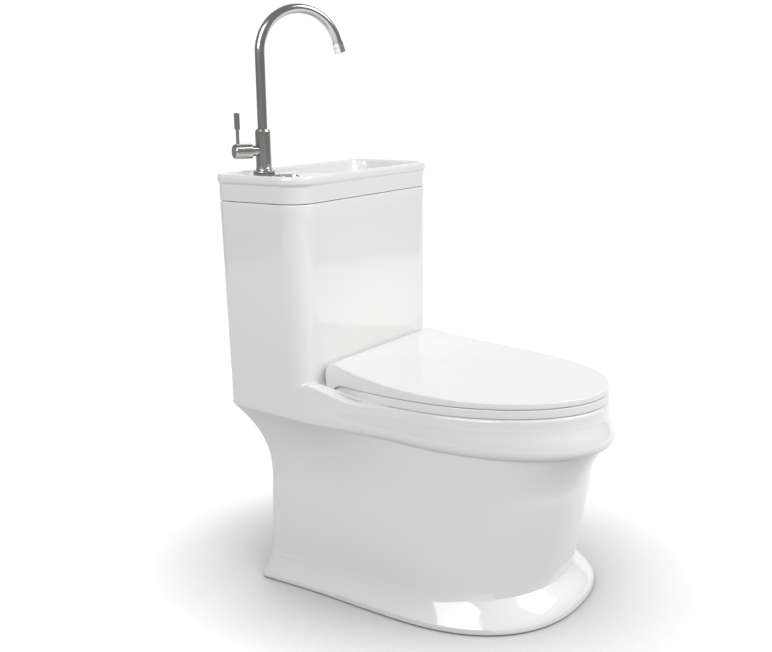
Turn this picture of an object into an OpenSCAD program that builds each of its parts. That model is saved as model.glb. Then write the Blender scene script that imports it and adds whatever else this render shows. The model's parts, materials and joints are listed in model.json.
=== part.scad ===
// One-piece toilet with a hand basin in the cistern lid.
// Lengths are in millimetres. The origin is the centre of the waste outlet on the floor,
// +X is to the right of someone who faces the toilet, +Y is towards the wall, +Z is up.

/* [Pan] */
// Height of the rim above the floor
rim_height = 400; // [370:1:430]
// Width over the rim
rim_w = 398; // [360:1:420]
// Distance from the back of the cistern to the front of the rim
rim_reach = 702; // [660:1:740]
// How far back from the front tip the rim is widest
rim_nose = 293; // [270:1:310]
// Height of the band below the rim, half way along the pan
band_h = 58.5; // [50:0.5:66]
// How much lower the band's lower edge lies at the front than under the cistern
band_drop = 40; // [20:1:44]
// How far the band's lower edge flares out at the front
lip_out = 12; // [6:0.5:14]
// Radius of the band's rounded lower edge
lip_r = 16; // [12:0.5:18]
// Height of the cove from the band's lower edge to the pedestal
cove_h = 120; // [100:1:135]
// How much higher the foot of the cove lies at the front than at the back
cove_rise = 30; // [10:1:40]
// Thickness of the glazed clay walls
clay_t = 13; // [10:0.5:15]

/* [Pedestal] */
// Width of the pedestal just above the plinth
pedestal_w = 404; // [370:1:420]
// Distance from the back of the cistern to the back of the pedestal
pedestal_setback = 67; // [60:1:80]
// How far the front of the pedestal lies behind the front of the rim, under the band
pedestal_tuck = 40; // [34:1:50]
// How much further back the pedestal front lies at the plinth
pedestal_lean = 36; // [10:1:40]
// Width of the plinth on the floor
plinth_w = 458; // [430:1:470]
// How far the plinth stands out in front of the pedestal
plinth_toe = 39; // [30:1:50]
// How far the plinth stands out behind the pedestal
plinth_heel = 9; // [6:1:20]
// Height of the plinth with its cove
plinth_h = 54; // [38:1:60]
// Height of the upright edge at the foot of the plinth
plinth_edge = 13; // [6:1:18]

/* [Bowl and trap] */
// Width of the bowl's opening
bowl_w = 262; // [240:1:276]
// Length of the bowl's opening
bowl_l = 345; // [320:1:352]
// Distance from the back of the cistern to the back of the bowl's opening
bowl_back = 292; // [286:1:302]
// Depth of the bowl from rim to sump
bowl_depth = 272; // [250:1:285]
// Radius of the trapway's bore
trap_r = 26; // [22:0.5:28]
// Radius of the bend over the weir
trap_bend = 45; // [40:1:50]
// Distance from the back of the cistern to the centre of the waste outlet
outlet_setback = 300; // [290:1:306]
// Radius of the waste outlet's socket
outlet_r = 41; // [38:0.5:44]

/* [Cistern] */
// Width of the cistern at the lid joint
cistern_w = 465; // [430:1:490]
// Width of the cistern at its foot
cistern_foot_w = 444; // [410:1:460]
// Depth of the cistern from back to front
cistern_d = 198; // [180:1:204]
// Radius of the cistern's front corners
cistern_r = 46; // [30:1:60]
// Radius of the cistern's rear corners
cistern_rear_r = 20; // [12:1:30]
// Height of the cistern wall above the rim
cistern_h = 361; // [320:1:400]
// Radius of the fillet between the cistern's front and the deck
shoulder_r = 24; // [14:1:25]

/* [Cistern lid and basin] */
// Height of the lid's skirt
skirt_h = 33; // [24:1:44]
// Height of the rolled rim on the skirt
roll_h = 17; // [12:1:22]
// How far the rolled rim stands out
roll_out = 4.5; // [2:0.5:6]
// Width of the raised rim seen from above
rim_lip = 13; // [9:0.5:18]
// Depth of the deck below the rim's top
deck_sink = 2.5; // [1:0.5:5]
// Thickness of the lid's walls
lid_t = 9; // [7:0.5:11]
// Gap between the lid and the cistern, filled by pads
joint_gap = 1.2; // [0.8:0.1:2.5]
// Depth of the basin below the deck
basin_depth = 60; // [45:1:70]
// Distance of the basin's left edge from the cistern's left side
basin_side = 132.5; // [126:0.5:148]
// Distance of the basin's right edge from the cistern's right side
basin_end = 14.5; // [13:0.5:24]
// Width of the lid's rim in front of the basin and behind it
basin_rim = 14; // [12:0.5:22]
// Distance of the basin's waste from the cistern's right side
waste_side = 147.5; // [135:0.5:160]
// Radius of the hole for the basin's waste
waste_r = 21.5; // [18:0.5:24]

/* [Seat] */
// Gap between rim and seat, held by the seat buffers
seat_gap = 2; // [1.5:0.1:4]
// Thickness of the seat
seat_t = 15; // [12:0.5:18]
// Gap between the seat and the lid's edge
cover_gap = 1.5; // [1:0.1:3]
// Thickness of the cover's edge at the front
cover_edge = 11; // [8:0.5:14]
// How much the middle of the cover is crowned
cover_crown = 9; // [5:0.5:11]
// Wall of the moulded cover
cover_t = 4; // [3:0.5:5]
// Distance from the back of the cistern to the hinge axis
hinge_back = 225; // [224:0.5:230]
// Height of the hinge axis above the rim
hinge_up = 32; // [30:0.5:34]
// Radius of the cover's rounded back about the hinge axis
heel_r = 23.5; // [21:0.5:24]
// Gap between the foot of the cover's sides and the rim
heel_gap = 1.2; // [1:0.1:3]
// Spacing of the two hinge posts
hinge_spacing = 155; // [140:1:170]
// Radius of the hinge pins
pin_r = 3; // [2.5:0.1:3.5]

/* [Faucet] */
// Distance of the faucet from the cistern's left side
faucet_side = 92.5; // [84:0.5:98]
// Distance of the faucet from the back of the cistern
faucet_back = 44; // [40:1:52]
// Radius of the faucet's body
tap_r = 15; // [13:0.5:17]
// Height of the faucet's body above its flange
tap_h = 78; // [65:1:95]
// Radius of the swan neck's tube
neck_r = 9.5; // [8:0.25:11]
// Wall of the swan neck's tube
neck_t = 1.5; // [1:0.25:2]
// Radius of the swan neck's bend
neck_bend = 84; // [70:1:95]
// Straight height of the swan neck above the body
neck_rise = 142; // [110:1:180]
// Turn of the bend in degrees
neck_turn = 163; // [140:1:180]
// Direction of the spout in degrees from +X
spout_dir = -27; // [-60:1:0]
// Radius of the side valve's barrel
barrel_r = 14.5; // [12:0.5:16]
// Length of the side valve's barrel
barrel_l = 35; // [28:1:42]
// Height of the side valve above the deck
barrel_up = 42; // [38:1:50]

/* [Flush button] */
// Distance of the button from the cistern's left side
button_side = 46.5; // [44.5:0.5:52]
// Distance of the button from the back of the cistern
button_back = 138; // [132:1:142]
// Radius of the button's bezel
bezel_r = 24; // [22:0.5:25]
// Travel of the two buttons
press = 5; // [3:0.5:6]

/* [Valves] */
// Distance of the flush valve from the cistern's left side
flush_side = 74.5; // [72:0.5:79]
// Distance of the flush valve from the back of the cistern
flush_back = 126; // [122:1:130]
// Radius of the flush valve's outlet
flush_r = 31; // [27:0.5:33]
// Height of the overflow tube above the cistern's floor
overflow_h = 230; // [200:1:250]
// Lift of the flush canister
flush_lift = 10; // [6:1:12]
// Distance of the fill valve from the cistern's right side
fill_side = 72.5; // [66:0.5:82]
// Distance of the fill valve from the back of the cistern
fill_back = 45; // [44:1:48]
// Radius of the half-inch inlet thread
inlet_r = 10.4; // [10:0.1:10.6]
// Height of the fill valve's column above the cistern's floor
fill_h = 238; // [215:1:255]
// Travel of the float
float_travel = 50; // [30:1:60]

/* [Hidden] */
$fn = 48;

// Clearance of a turning pin in its bore
run_gap = 0.05;
// Air gap between pieces that move past each other
air = 0.4;
// Small overlap that lets a cutter break through a face
cut = 1;

GLAZE = [0.93, 0.93, 0.92];
PLASTIC = [0.96, 0.96, 0.95];
STEEL = [0.72, 0.72, 0.71];
CHROME = [0.82, 0.83, 0.84];
RUBBER = [0.16, 0.16, 0.17];
RESIN = [0.86, 0.88, 0.9];
BLUE = [0.25, 0.45, 0.75];

// ---- helpers ----
function mix(a, b, t) = a + (b - a) * t;
function ease(t) = t * t * (3 - 2 * t);
function clamp01(t) = min(1, max(0, t));

// Moves what is drawn from the back of the cistern so that the origin is the outlet
module from_back() { translate([0, outlet_setback, 0]) children(); }

// Right halves of closed outlines, from the middle of the back to the middle of the front.
// Every half has the same number of points, so that outlines can be joined into a skin.
BACK_PTS = 2;
REAR_PTS = 4;
SIDE_PTS = 3;
TURN_PTS = 6;
FRONT_PTS = 10;
function back_part(w, yb, rb) = concat(
    [for (k = [0 : BACK_PTS - 1]) [(w - rb) * k / BACK_PTS, yb]],
    [for (k = [0 : REAR_PTS - 1]) let (a = 90 - 90 * k / (REAR_PTS - 1))
        [w - rb + rb * cos(a), yb - rb + rb * sin(a)]]);
// Rounded box: half width w, back yb, front yf, corner radii rb and rf
function box_half(w, yb, yf, rb, rf) = concat(back_part(w, yb, rb),
    [for (k = [1 : SIDE_PTS]) [w, mix(yb - rb, yf + rf, k / SIDE_PTS)]],
    [for (k = [1 : TURN_PTS]) let (a = -90 * k / TURN_PTS) [w - rf + rf * cos(a), yf + rf + rf * sin(a)]],
    [for (k = [1 : FRONT_PTS]) [(w - rf) * (1 - k / FRONT_PTS), yf]]);
// Pan: half width wb at the back as far as ys, easing to wm at ym, then a rounded nose to yf
function pan_half(wb, wm, yb, ys, ym, yf, rb, n) = concat(back_part(wb, yb, rb),
    [for (k = [1 : SIDE_PTS]) [wb, mix(yb - rb, ys, k / SIDE_PTS)]],
    [for (k = [1 : TURN_PTS]) let (u = k / TURN_PTS) [mix(wb, wm, ease(u)), mix(ys, ym, u)]],
    [for (k = [1 : FRONT_PTS]) let (t = 90 * k / FRONT_PTS)
        [wm * pow(cos(t), 2 / n), ym - (ym - yf) * pow(sin(t), 2 / n)]]);
// Egg: half width wr at the back, swelling to w at ym, then a rounded nose to yf
function egg_half(wr, w, yb, ym, yf, rb, n) = concat(back_part(wr, yb, rb),
    [for (k = [1 : SIDE_PTS + TURN_PTS]) let (u = k / (SIDE_PTS + TURN_PTS))
        [mix(wr, w, 1 - (1 - u) * (1 - u)), mix(yb - rb, ym, u)]],
    [for (k = [1 : FRONT_PTS]) let (t = 90 * k / FRONT_PTS)
        [w * pow(cos(t), 2 / n), ym - (ym - yf) * pow(sin(t), 2 / n)]]);
// Whole outline at height z, about the line x = xc
function ring(half, z, xc = 0) = concat(
    [for (p = half) [xc + p[0], p[1], z]],
    [for (k = [len(half) - 2 : -1 : 1]) [xc - half[k][0], half[k][1], z]]);

// Skin through a list of outlines, closed by a fan of faces at each end
function middle(r) = [for (q = [0 : 2]) [for (p = r) p[q]] * [for (p = r) 1] / len(r)];
module skin(rings) {
    n = len(rings[0]);
    m = len(rings);
    sides = [for (j = [0 : m - 2]) for (i = [0 : n - 1]) let (a = j * n + i, b = j * n + (i + 1) % n)
        each [[a, b + n, a + n], [a, b, b + n]]];
    ends = [for (i = [0 : n - 1]) let (k = (i + 1) % n)
        each [[m * n, k, i], [m * n + 1, (m - 1) * n + i, (m - 1) * n + k]]];
    polyhedron(concat([for (r = rings) each r], [middle(rings[0]), middle(rings[m - 1])]),
        concat(sides, ends), convexity = 10);
}
// Closed band: the profile rings[j] is repeated round the part and meets itself
module hoop(rings) {
    n = len(rings[0]);
    m = len(rings);
    polyhedron([for (r = rings) each r],
        [for (j = [0 : m - 1]) for (i = [0 : n - 1])
            let (k = (j + 1) % m, l = (i + 1) % n)
            each [[j * n + i, k * n + l, k * n + i], [j * n + i, j * n + l, k * n + l]]],
        convexity = 10);
}
// Round tube or rod along a path; ref is a direction that the path never follows
function unit(v) = v / norm(v);
module sweep(path, r, sides, ref) {
    last = len(path) - 1;
    skin([for (k = [0 : last])
        let (t = unit(path[min(k + 1, last)] - path[max(k - 1, 0)]), s = unit(cross(t, ref)), u = cross(s, t))
        [for (i = [0 : sides - 1]) let (a = 360 * i / sides) path[k] + r * cos(a) * s + r * sin(a) * u]]);
}
module tube(r_out, r_in, h) {
    difference() {
        cylinder(h = h, r = r_out);
        translate([0, 0, -cut]) cylinder(h = h + 2 * cut, r = r_in);
    }
}
module hex_nut(across, r_in, h) {
    difference() {
        cylinder(h = h, r = across / sqrt(3), $fn = 6);
        translate([0, 0, -cut]) cylinder(h = h + 2 * cut, r = r_in, $fn = 48);
    }
}

// ---- shared places ----
deck_z = rim_height;
seam_z = rim_height + cistern_h;
lid_foot_z = seam_z + joint_gap;
lid_top_z = lid_foot_z + skirt_h + roll_h;
lid_deck_z = lid_top_z - deck_sink;
floor_z = rim_height + 2;
wide_y = -(rim_reach - rim_nose);
lip_z = rim_height - band_h;
cove_z = lip_z - cove_h;
outlet_z = 0;
hinge_z = rim_height + hinge_up;
heel_foot = hinge_up - heel_gap;
tip_back = 9;
post_y = -(hinge_back + 13);
seat_z = rim_height + seat_gap;
cover_z = seat_z + seat_t + cover_gap;
seat_w = rim_w - 3;
seat_reach = rim_reach - 2;
seat_rear_w = 0.865 * seat_w;
under_deck_z = lid_deck_z - lid_t;
gasket_t = 1;
tap_z = lid_deck_z + gasket_t + 4.5;
tap_top_z = tap_z + tap_h;
valve_z = lid_deck_z + barrel_up;
basin_mid = cistern_w / 2 - waste_side;
basin_y = -cistern_d / 2;
basin_floor_l = 210;
basin_floor_d = 120;
faucet_x = cistern_w / 2 - faucet_side;
button_x = cistern_w / 2 - button_side;
flush_x = cistern_w / 2 - flush_side;
fill_x = cistern_w / 2 - fill_side;
basin_floor_z = lid_deck_z - basin_depth;

// ---- ceramic ----
// Outline of the cistern at height z, drawn in by inset
function cistern_half(z, inset = 0) = let (t = (z - rim_height) / cistern_h)
    box_half(mix(cistern_foot_w, cistern_w, t) / 2 - inset, -inset, -cistern_d + inset,
        max(4, cistern_rear_r - inset), max(8, cistern_r - inset));
// Pedestal outline: v goes from 0 under the band to 1 at the plinth
function pedestal_half(v, side, toe, heel, inset = 0) =
    let (w = mix(pedestal_w / 2 - 8, pedestal_w / 2, v) + side - inset)
    pan_half(w - 8 - 0.2 * side, w, -pedestal_setback + heel - inset, -cistern_d + cistern_r, wide_y,
        -(rim_reach - pedestal_tuck - pedestal_lean * v + toe) + inset, 14, 2.25 + 0.005 * side);
// Outline of the body under the rim: back, side and front go from 0 at the pedestal to 1 at the band
function body_half(back, side, front, out, inset = 0) =
    pan_half(mix(pedestal_w / 2 - 16, cistern_foot_w / 2, back) - inset,
        mix(pedestal_w / 2 - 8, rim_w / 2, side) + 0.5 * out - inset,
        mix(-pedestal_setback, 0, back) - inset, -cistern_d + cistern_r, wide_y,
        -(mix(rim_reach - pedestal_tuck, rim_reach, front) + out) + inset,
        mix(14, cistern_rear_r, back), mix(2.25, 2, front));
// Outline at height z that falls by drop from the back of the pan to its front
function falling(half, z, drop) = [for (p = ring(half, z)) [p[0], p[1], z + drop * (0.5 + p[1] / rim_reach)]];
// Outline in the cove: s goes from 0 at the pedestal to 1 at the band
function cove_ring(s, inset = 0, up = 0) = falling(
    body_half(0.97 * pow(s, 2.5), 0.97 * pow(s, 2.2), 0.97 * pow(s, 1.7), 0, inset),
    mix(cove_z, lip_z - 3, s) + up, mix(-cove_rise, band_drop, s));

// One skin from the floor to the cistern's open top
module body_skin() {
    flare = (plinth_w - pedestal_w) / 2;
    plinth = [for (k = [0 : 5]) let (v = 1 - k / 5, w = pow(v, 1.5))
        ring(pedestal_half(1, flare * w, plinth_toe * sin(90 * v), plinth_heel * w), mix(plinth_h, plinth_edge, v))];
    wall = [for (v = [0.66, 0.33])
        falling(pedestal_half(v, 0, 0, 0), mix(cove_z, plinth_h, v), -cove_rise * (1 - v))];
    under = [for (s = [0, 0.3, 0.5, 0.68, 0.82, 0.92, 1]) cove_ring(s)];
    lip = [for (a = [-60, -38, -18, 0]) falling(body_half(1, 1, 1, lip_out - 0.8 * lip_r * (1 - cos(a))),
        lip_z - 2 + lip_r * (1 + sin(a)), band_drop)];
    top = [for (u = [0.2, 0.4, 0.65, 1]) falling(body_half(1, 1, 1, lip_out * (1 - ease(min(1, 1.25 * u)))),
        mix(lip_z + lip_r - 2, rim_height - 5, u), band_drop * (1 - u))];
    edge = [for (a = [30, 60, 90]) let (r = ring(body_half(1, 1, 1, 0, 5 * (1 - cos(a))), 0),
        wide = ring(body_half(1, 1, 1, 0, 0.2 * (1 - cos(a))), 0))
        [for (k = [0 : len(r) - 1])
            let (q = k > len(r) / 2 ? len(r) - k : k, side = q < BACK_PTS + REAR_PTS + SIDE_PTS)
            [side ? wide[k][0] : r[k][0], side ? wide[k][1] : r[k][1], rim_height - 5 * (1 - sin(a))]]];
    fillet = [for (a = [0, 22.5, 45, 67.5, 90])
        ring(box_half(cistern_foot_w / 2 - 0.6 * cos(a), -0.6 * cos(a), -cistern_d - shoulder_r * (1 - sin(a)),
            cistern_rear_r, cistern_r), rim_height + shoulder_r * (1 - cos(a)))];
    skin(concat([ring(pedestal_half(1, flare, plinth_toe, plinth_heel), 0)],
        plinth, wall, under, lip, top, edge, fillet, [ring(cistern_half(seam_z), seam_z)]));
}
// The bowl: wall is 0 for the hollow and clay_t for its outside
bowl_mid = -(bowl_back + 0.47 * bowl_l);
sump_y = -(outlet_setback + 2 * trap_bend + 58);
sump_z = rim_height - bowl_depth;
function bowl_ring(s, wall) = let (
    f = pow(1 - pow(s, 2.2), 0.75),
    w = mix(38, bowl_w / 2, f) + wall,
    mid = mix(sump_y, bowl_mid, f),
    back = mix(sump_y + 42, -bowl_back, f) + wall,
    front = mix(sump_y - 48, -(bowl_back + bowl_l), f) - wall)
    ring(egg_half(0.78 * w, w, back, mid, front, 0.45 * w, 2.1), rim_height - bowl_depth * s - (s == 1 ? wall : 0));
module bowl(wall, lip) {
    skin([for (s = [1, 0.96, 0.86, 0.72, 0.55, 0.36, 0.18, 0]) bowl_ring(s, wall), ring(egg_half(0.39 * bowl_w + wall,
        bowl_w / 2 + wall, -bowl_back + wall, bowl_mid, -(bowl_back + bowl_l) - wall, 0.22 * bowl_w, 2.1),
        rim_height + lip)]);
}
// The water's way out: along the sump, up, over the weir and down to the floor
weir_z = sump_z + trap_r + 46;
elbow_r = 36;
module bend(big, r, angle) {
    rotate_extrude(angle = angle) translate([big, 0]) circle(r = r);
}
module trapway(r, foot) {
    up_y = -(outlet_setback + 2 * trap_bend);
    from_z = sump_z + trap_r;
    translate([0, sump_y - 10, from_z]) rotate([-90, 0, 0]) cylinder(h = up_y - elbow_r - sump_y + 10, r = r);
    translate([0, up_y - elbow_r, from_z + elbow_r]) rotate([90, 0, 90]) rotate(-90) bend(elbow_r, r, 90);
    translate([0, up_y, from_z + elbow_r]) cylinder(h = weir_z - from_z - elbow_r, r = r);
    translate([0, up_y + trap_bend, weir_z]) rotate([90, 0, 90]) bend(trap_bend, r, 180);
    translate([0, -outlet_setback, foot]) cylinder(h = weir_z - foot, r = r);
}
// Hollow under the pan, open at the floor
module under_hollow() {
    t = clay_t;
    skin(concat([ring(pedestal_half(1, 0, 0, 0, t), -cut), ring(pedestal_half(1, 0, 0, 0, t), plinth_h)],
        [for (s = [0, 0.5, 0.75, 0.9]) cove_ring(s, s == 0 ? t : 0.7 * t, s * s * (t + 5))],
        [falling(body_half(0.97, 0.97, 0.97, 0, t + 4), lip_z + t + 6, band_drop),
            ring(body_half(0.97, 0.97, 0.97, 0, t + 6), rim_height - 19)]));
}
module flush_duct(r) {
    from = [-flush_x, -flush_back, rim_height - 80];
    to = [-30, -(bowl_back + 24), rim_height - 100];
    d = to - from;
    translate(from) rotate([0, acos(d[2] / norm(d)), atan2(d[1], d[0])]) cylinder(h = norm(d), r = r);
    translate(from) sphere(r = r);
    translate(from) cylinder(h = 82, r = r);
}
inlet_seat_z = rim_height - 16;
recess_r = 24;
recess_h = 204;
shank_r = inlet_r + 0.6;
plug_r = 8;
module ceramic_pan_and_cistern() {
    color(GLAZE) from_back() difference() {
        body_skin();
        difference() {
            under_hollow();
            bowl(clay_t, -10);
            trapway(trap_r + 9, outlet_z - 2 * cut);
            translate([0, -outlet_setback, outlet_z - 2 * cut]) cylinder(h = 60, r = outlet_r + 9);
            flush_duct(0.85 * flush_r + 9);
            translate([fill_x, -fill_back, inlet_seat_z - recess_h]) cylinder(h = recess_h + 36, r = recess_r + 9);
            for (side = [-1, 1]) translate([side * hinge_spacing / 2, post_y, rim_height - 60])
                cylinder(h = 60, r = plug_r + 8);
        }
        bowl(0, 2);
        trapway(trap_r, outlet_z - cut);
        translate([0, -outlet_setback, outlet_z - cut]) cylinder(h = 41, r = outlet_r);
        flush_duct(0.85 * flush_r);
        skin([for (z = [floor_z, floor_z + 40, seam_z + cut]) ring(cistern_half(z, clay_t), z)]);
        translate([-flush_x, -flush_back, rim_height - 20]) cylinder(h = 30, r = flush_r + 1.5);
        translate([fill_x, -fill_back, rim_height - 30]) cylinder(h = 40, r = shank_r + 1);
        translate([fill_x, -fill_back, inlet_seat_z - recess_h]) cylinder(h = recess_h, r = recess_r);
        for (side = [-1, 1]) translate([side * hinge_spacing / 2, post_y, rim_height - 45])
            cylinder(h = 45 + cut, r = plug_r);
    }
}

// ---- cistern lid with basin ----
// Outline of the lid, drawn in by inset; the back never passes the cistern's back
function lid_half(inset) = box_half(cistern_w / 2 - inset, min(0, -inset), -cistern_d + inset,
    max(6, cistern_rear_r - max(0, inset)), max(12, cistern_r - inset));
// Basin outline: s goes from 0 at the deck to 1 at the floor, wall is 0 inside and lid_t outside
function basin_ring(s, z, wall) = let (
    left = mix(-cistern_w / 2 + basin_side, basin_mid - basin_floor_l / 2, s) - 0.66 * wall,
    right = mix(cistern_w / 2 - basin_end, basin_mid + basin_floor_l / 2, s) + 0.3 * wall,
    half_d = mix(cistern_d / 2 - basin_rim, basin_floor_d / 2, s) + 0.3 * wall)
    ring(box_half((right - left) / 2, basin_y + half_d, basin_y - half_d, 30, 34), z, (left + right) / 2);
module cistern_lid_basin() {
    bead_r = roll_h / 2;
    bead_z = lid_top_z - bead_r;
    color(GLAZE) from_back() difference() {
        skin(concat(
            [basin_ring(1, basin_floor_z - lid_t, lid_t), basin_ring(0.9, basin_floor_z - 0.8 * lid_t, lid_t),
                basin_ring(0, under_deck_z, lid_t)],
            [for (z = [under_deck_z, lid_foot_z]) ring(lid_half(lid_t), z)],
            [ring(lid_half(1), lid_foot_z), ring(lid_half(0), lid_foot_z + 1.5),
                ring(lid_half(0), bead_z - 0.98 * bead_r)],
            [for (a = [-60, -30, 0, 30, 60, 90])
                ring(lid_half(-roll_out + (1 - cos(a)) * (a < 0 ? roll_out : 0.45 * bead_r)),
                    bead_z + bead_r * sin(a))],
            [ring(lid_half(rim_lip - roll_out - 2), lid_top_z - 0.3),
                ring(lid_half(rim_lip - roll_out + 2), lid_deck_z)],
            [for (k = [[0, 0], [0.03, 2.5], [0.12, 12], [0.5, 0.53 * basin_depth], [0.86, 0.9 * basin_depth],
                [0.95, basin_depth - 1.5], [1.06, basin_depth]])
                basin_ring(k[0], lid_deck_z - k[1], 0)]));
        translate([-faucet_x, -faucet_back, under_deck_z - 20]) cylinder(h = 60, r = inlet_r + 1.2);
        translate([-button_x, -button_back, under_deck_z - 20]) cylinder(h = 60, r = bezel_r - 4.4);
        translate([basin_mid, basin_y, basin_floor_z - 30]) cylinder(h = 60, r = waste_r + 0.5);
    }
}
pad_inset = 40;
module lid_pads() {
    color(RUBBER) from_back()
        for (side = [-1, 1], y = [-pad_inset, -cistern_d + cistern_r + 14])
            translate([side * (cistern_w / 2 - clay_t / 2) - 3.5, y - 9, seam_z]) cube([7, 18, joint_gap]);
}
module outlet_seal() {
    color(RUBBER) rotate_extrude()
        polygon([[outlet_r + 9, 0], [outlet_r + 24, 0], [outlet_r + 21, 10], [outlet_r + 15, 18],
            [outlet_r + 9, 20]]);
}

// ---- basin waste ----
module basin_waste() {
    color(CHROME) from_back() translate([basin_mid, basin_y, basin_floor_z]) difference() {
        rotate_extrude() polygon([[0, 2.6], [26, 2.6], [29.5, 1.2], [30, 0], [waste_r, 0], [waste_r, -44], [0, -44]]);
        translate([0, 0, -60]) cylinder(h = 80, r = waste_r - 3.5);
        translate([0, 0, 0.6]) cylinder(h = 4, r = waste_r - 0.5);
    }
}
module waste_strainer() {
    color(CHROME) from_back() translate([basin_mid, basin_y, basin_floor_z + 0.6]) difference() {
        cylinder(h = 1.6, r = waste_r - 0.5);
        for (row = [[1, 0, 0], [6, 7.5, 0], [12, 14.5, 15]])
            for (k = [0 : row[0] - 1]) rotate(row[2] + 360 * k / row[0]) translate([row[1], 0, -cut])
                cylinder(h = 4, r = 2.2);
    }
}
module waste_gasket() {
    color(RUBBER) from_back() translate([basin_mid, basin_y, basin_floor_z - lid_t - 2.5]) tube(29, waste_r, 2.5);
}
module waste_nut() {
    color(RESIN) from_back() translate([basin_mid, basin_y, basin_floor_z - lid_t - 11.5]) hex_nut(54, waste_r, 9);
}

// ---- faucet ----
module at_faucet(z = 0) { from_back() translate([-faucet_x, -faucet_back, z]) children(); }
module toward_spout() { rotate(spout_dir) children(); }
// The side valve lies opposite the spout
module along_valve(from) {
    at_faucet(valve_z) rotate(spout_dir + 180) rotate([0, 90, 0]) translate([0, 0, from]) children();
}
socket = 22;
neck_foot_z = tap_top_z - socket;
bend_z = tap_top_z + neck_rise;
barrel_from = tap_r + 10;
lever_at = barrel_from + 0.76 * barrel_l;

module faucet_gasket() { color(RUBBER) at_faucet(lid_deck_z) tube(20, inlet_r, gasket_t); }
module faucet_flange() {
    color(STEEL) at_faucet(lid_deck_z + gasket_t) rotate_extrude()
        polygon([[inlet_r, 0], [22, 0], [22, 2], [20.5, 3.4], [tap_r + 1.5, 4.5], [inlet_r, 4.5]]);
}
module faucet_body() {
    color(STEEL) difference() {
        union() {
            at_faucet(tap_z) rotate_extrude()
                polygon([[0, 0], [tap_r + 1, 0], [tap_r + 1, 3], [tap_r, 4.5], [tap_r, tap_h - 5], [tap_r - 2, tap_h - 1.2],
                    [tap_r - 3.5, tap_h], [0, tap_h]]);
            along_valve(4) cylinder(h = tap_r - 2, r = 9.5);
        }
        at_faucet(tap_z - cut) cylinder(h = 14 + cut, r = inlet_r);
        at_faucet(tap_z) cylinder(h = tap_h - socket, r = 6);
        at_faucet(neck_foot_z) cylinder(h = socket + cut, r = neck_r + run_gap);
        for (up = [6, 13]) at_faucet(neck_foot_z + up) cylinder(h = 2.4, r = neck_r + 2);
        along_valve(5) cylinder(h = 14, r = 5);
    }
}
module neck_seals() {
    color(RUBBER) for (up = [6, 13]) at_faucet(neck_foot_z + up) tube(neck_r + 2, neck_r + run_gap, 2.4);
}
shank_foot_z = under_deck_z - 62;
module faucet_shank() { color(STEEL) at_faucet(shank_foot_z) tube(inlet_r, 6, tap_z + 13 - shank_foot_z); }
module faucet_nut() {
    color(STEEL) at_faucet(under_deck_z - 10) union() {
        hex_nut(27, inlet_r, 8);
        translate([0, 0, 8]) tube(17, inlet_r, 2);
    }
}
// Puts what is drawn at the end of the bend, with +Z along the water
module at_spout_end(on) {
    at_faucet(bend_z) toward_spout() translate([neck_bend, 0, 0]) rotate([0, neck_turn, 0])
        translate([-neck_bend, 0, on])
        children();
}
// The neck's centre line, in the plane of its bend
function neck_line(from) = concat([[0, 0, neck_foot_z - from], [0, 0, mix(neck_foot_z, bend_z, 0.5)]],
    [for (k = [0 : 20]) let (a = neck_turn * k / 20) [neck_bend * (1 - cos(a)), 0, bend_z + neck_bend * sin(a)]],
    [[neck_bend * (1 - cos(neck_turn)) + (12 + from) * sin(neck_turn), 0,
        bend_z + neck_bend * sin(neck_turn) + (12 + from) * cos(neck_turn)]]);
module swan_neck() {
    color(STEEL) at_faucet() toward_spout() difference() {
        sweep(neck_line(0), neck_r, 28, [0, 1, 0]);
        sweep(neck_line(cut), neck_r - neck_t, 20, [0, 1, 0]);
    }
}
module aerator_housing() {
    color(CHROME) at_spout_end(3) difference() {
        rotate_extrude() polygon([[neck_r - neck_t - 1, 9], [neck_r, 9], [neck_r, 0], [neck_r + 1.2, 0], [neck_r + 1.9, 1],
            [neck_r + 1.9, 8], [neck_r + 1.4, 8.6], [neck_r + 1.4, 9.4], [neck_r + 1.9, 10], [neck_r + 1.9, 20],
            [neck_r + 1.1, 21], [neck_r - neck_t - 1, 21]]);
    }
}
module aerator_mesh() {
    color(CHROME) at_spout_end(3) translate([0, 0, 17]) difference() {
        cylinder(h = 2, r = neck_r - neck_t - 1);
        for (k = [0 : 5]) rotate(60 * k) translate([4, 0, -cut]) cylinder(h = 5, r = 1);
        translate([0, 0, -cut]) cylinder(h = 5, r = 1.4);
    }
}
module valve_neck() {
    color(STEEL) along_valve(tap_r + 2) difference() {
        cylinder(h = 7.4, r = 10.5);
        translate([0, 0, -cut]) cylinder(h = 20, r = 5);
    }
}
module valve_stem() {
    color(STEEL) along_valve(tap_r - 4) union() {
        cylinder(h = barrel_from - tap_r + 4 + 12, r = 4.9);
    }
}
module lever_barrel() {
    color(STEEL) along_valve(barrel_from) difference() {
        rotate_extrude() polygon([[4.9, 0], [barrel_r - 1, 0], [barrel_r, 1], [barrel_r, 0.57 * barrel_l],
            [barrel_r - 0.5, 0.57 * barrel_l + 0.5], [barrel_r, 0.57 * barrel_l + 1], [barrel_r, barrel_l - 2],
            [barrel_r - 2, barrel_l], [0, barrel_l], [0, 12], [4.9, 12]]);
        translate([0, 0, lever_at - barrel_from]) rotate([0, -90, 0]) translate([0, 0, 6]) cylinder(h = 20, r = 3.25);
    }
}
module at_lever(up) { along_valve(lever_at) rotate([0, -90, 0]) translate([0, 0, up]) children(); }
module lever_rod() { color(STEEL) at_lever(6) cylinder(h = 42, r = 3.25); }
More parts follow.
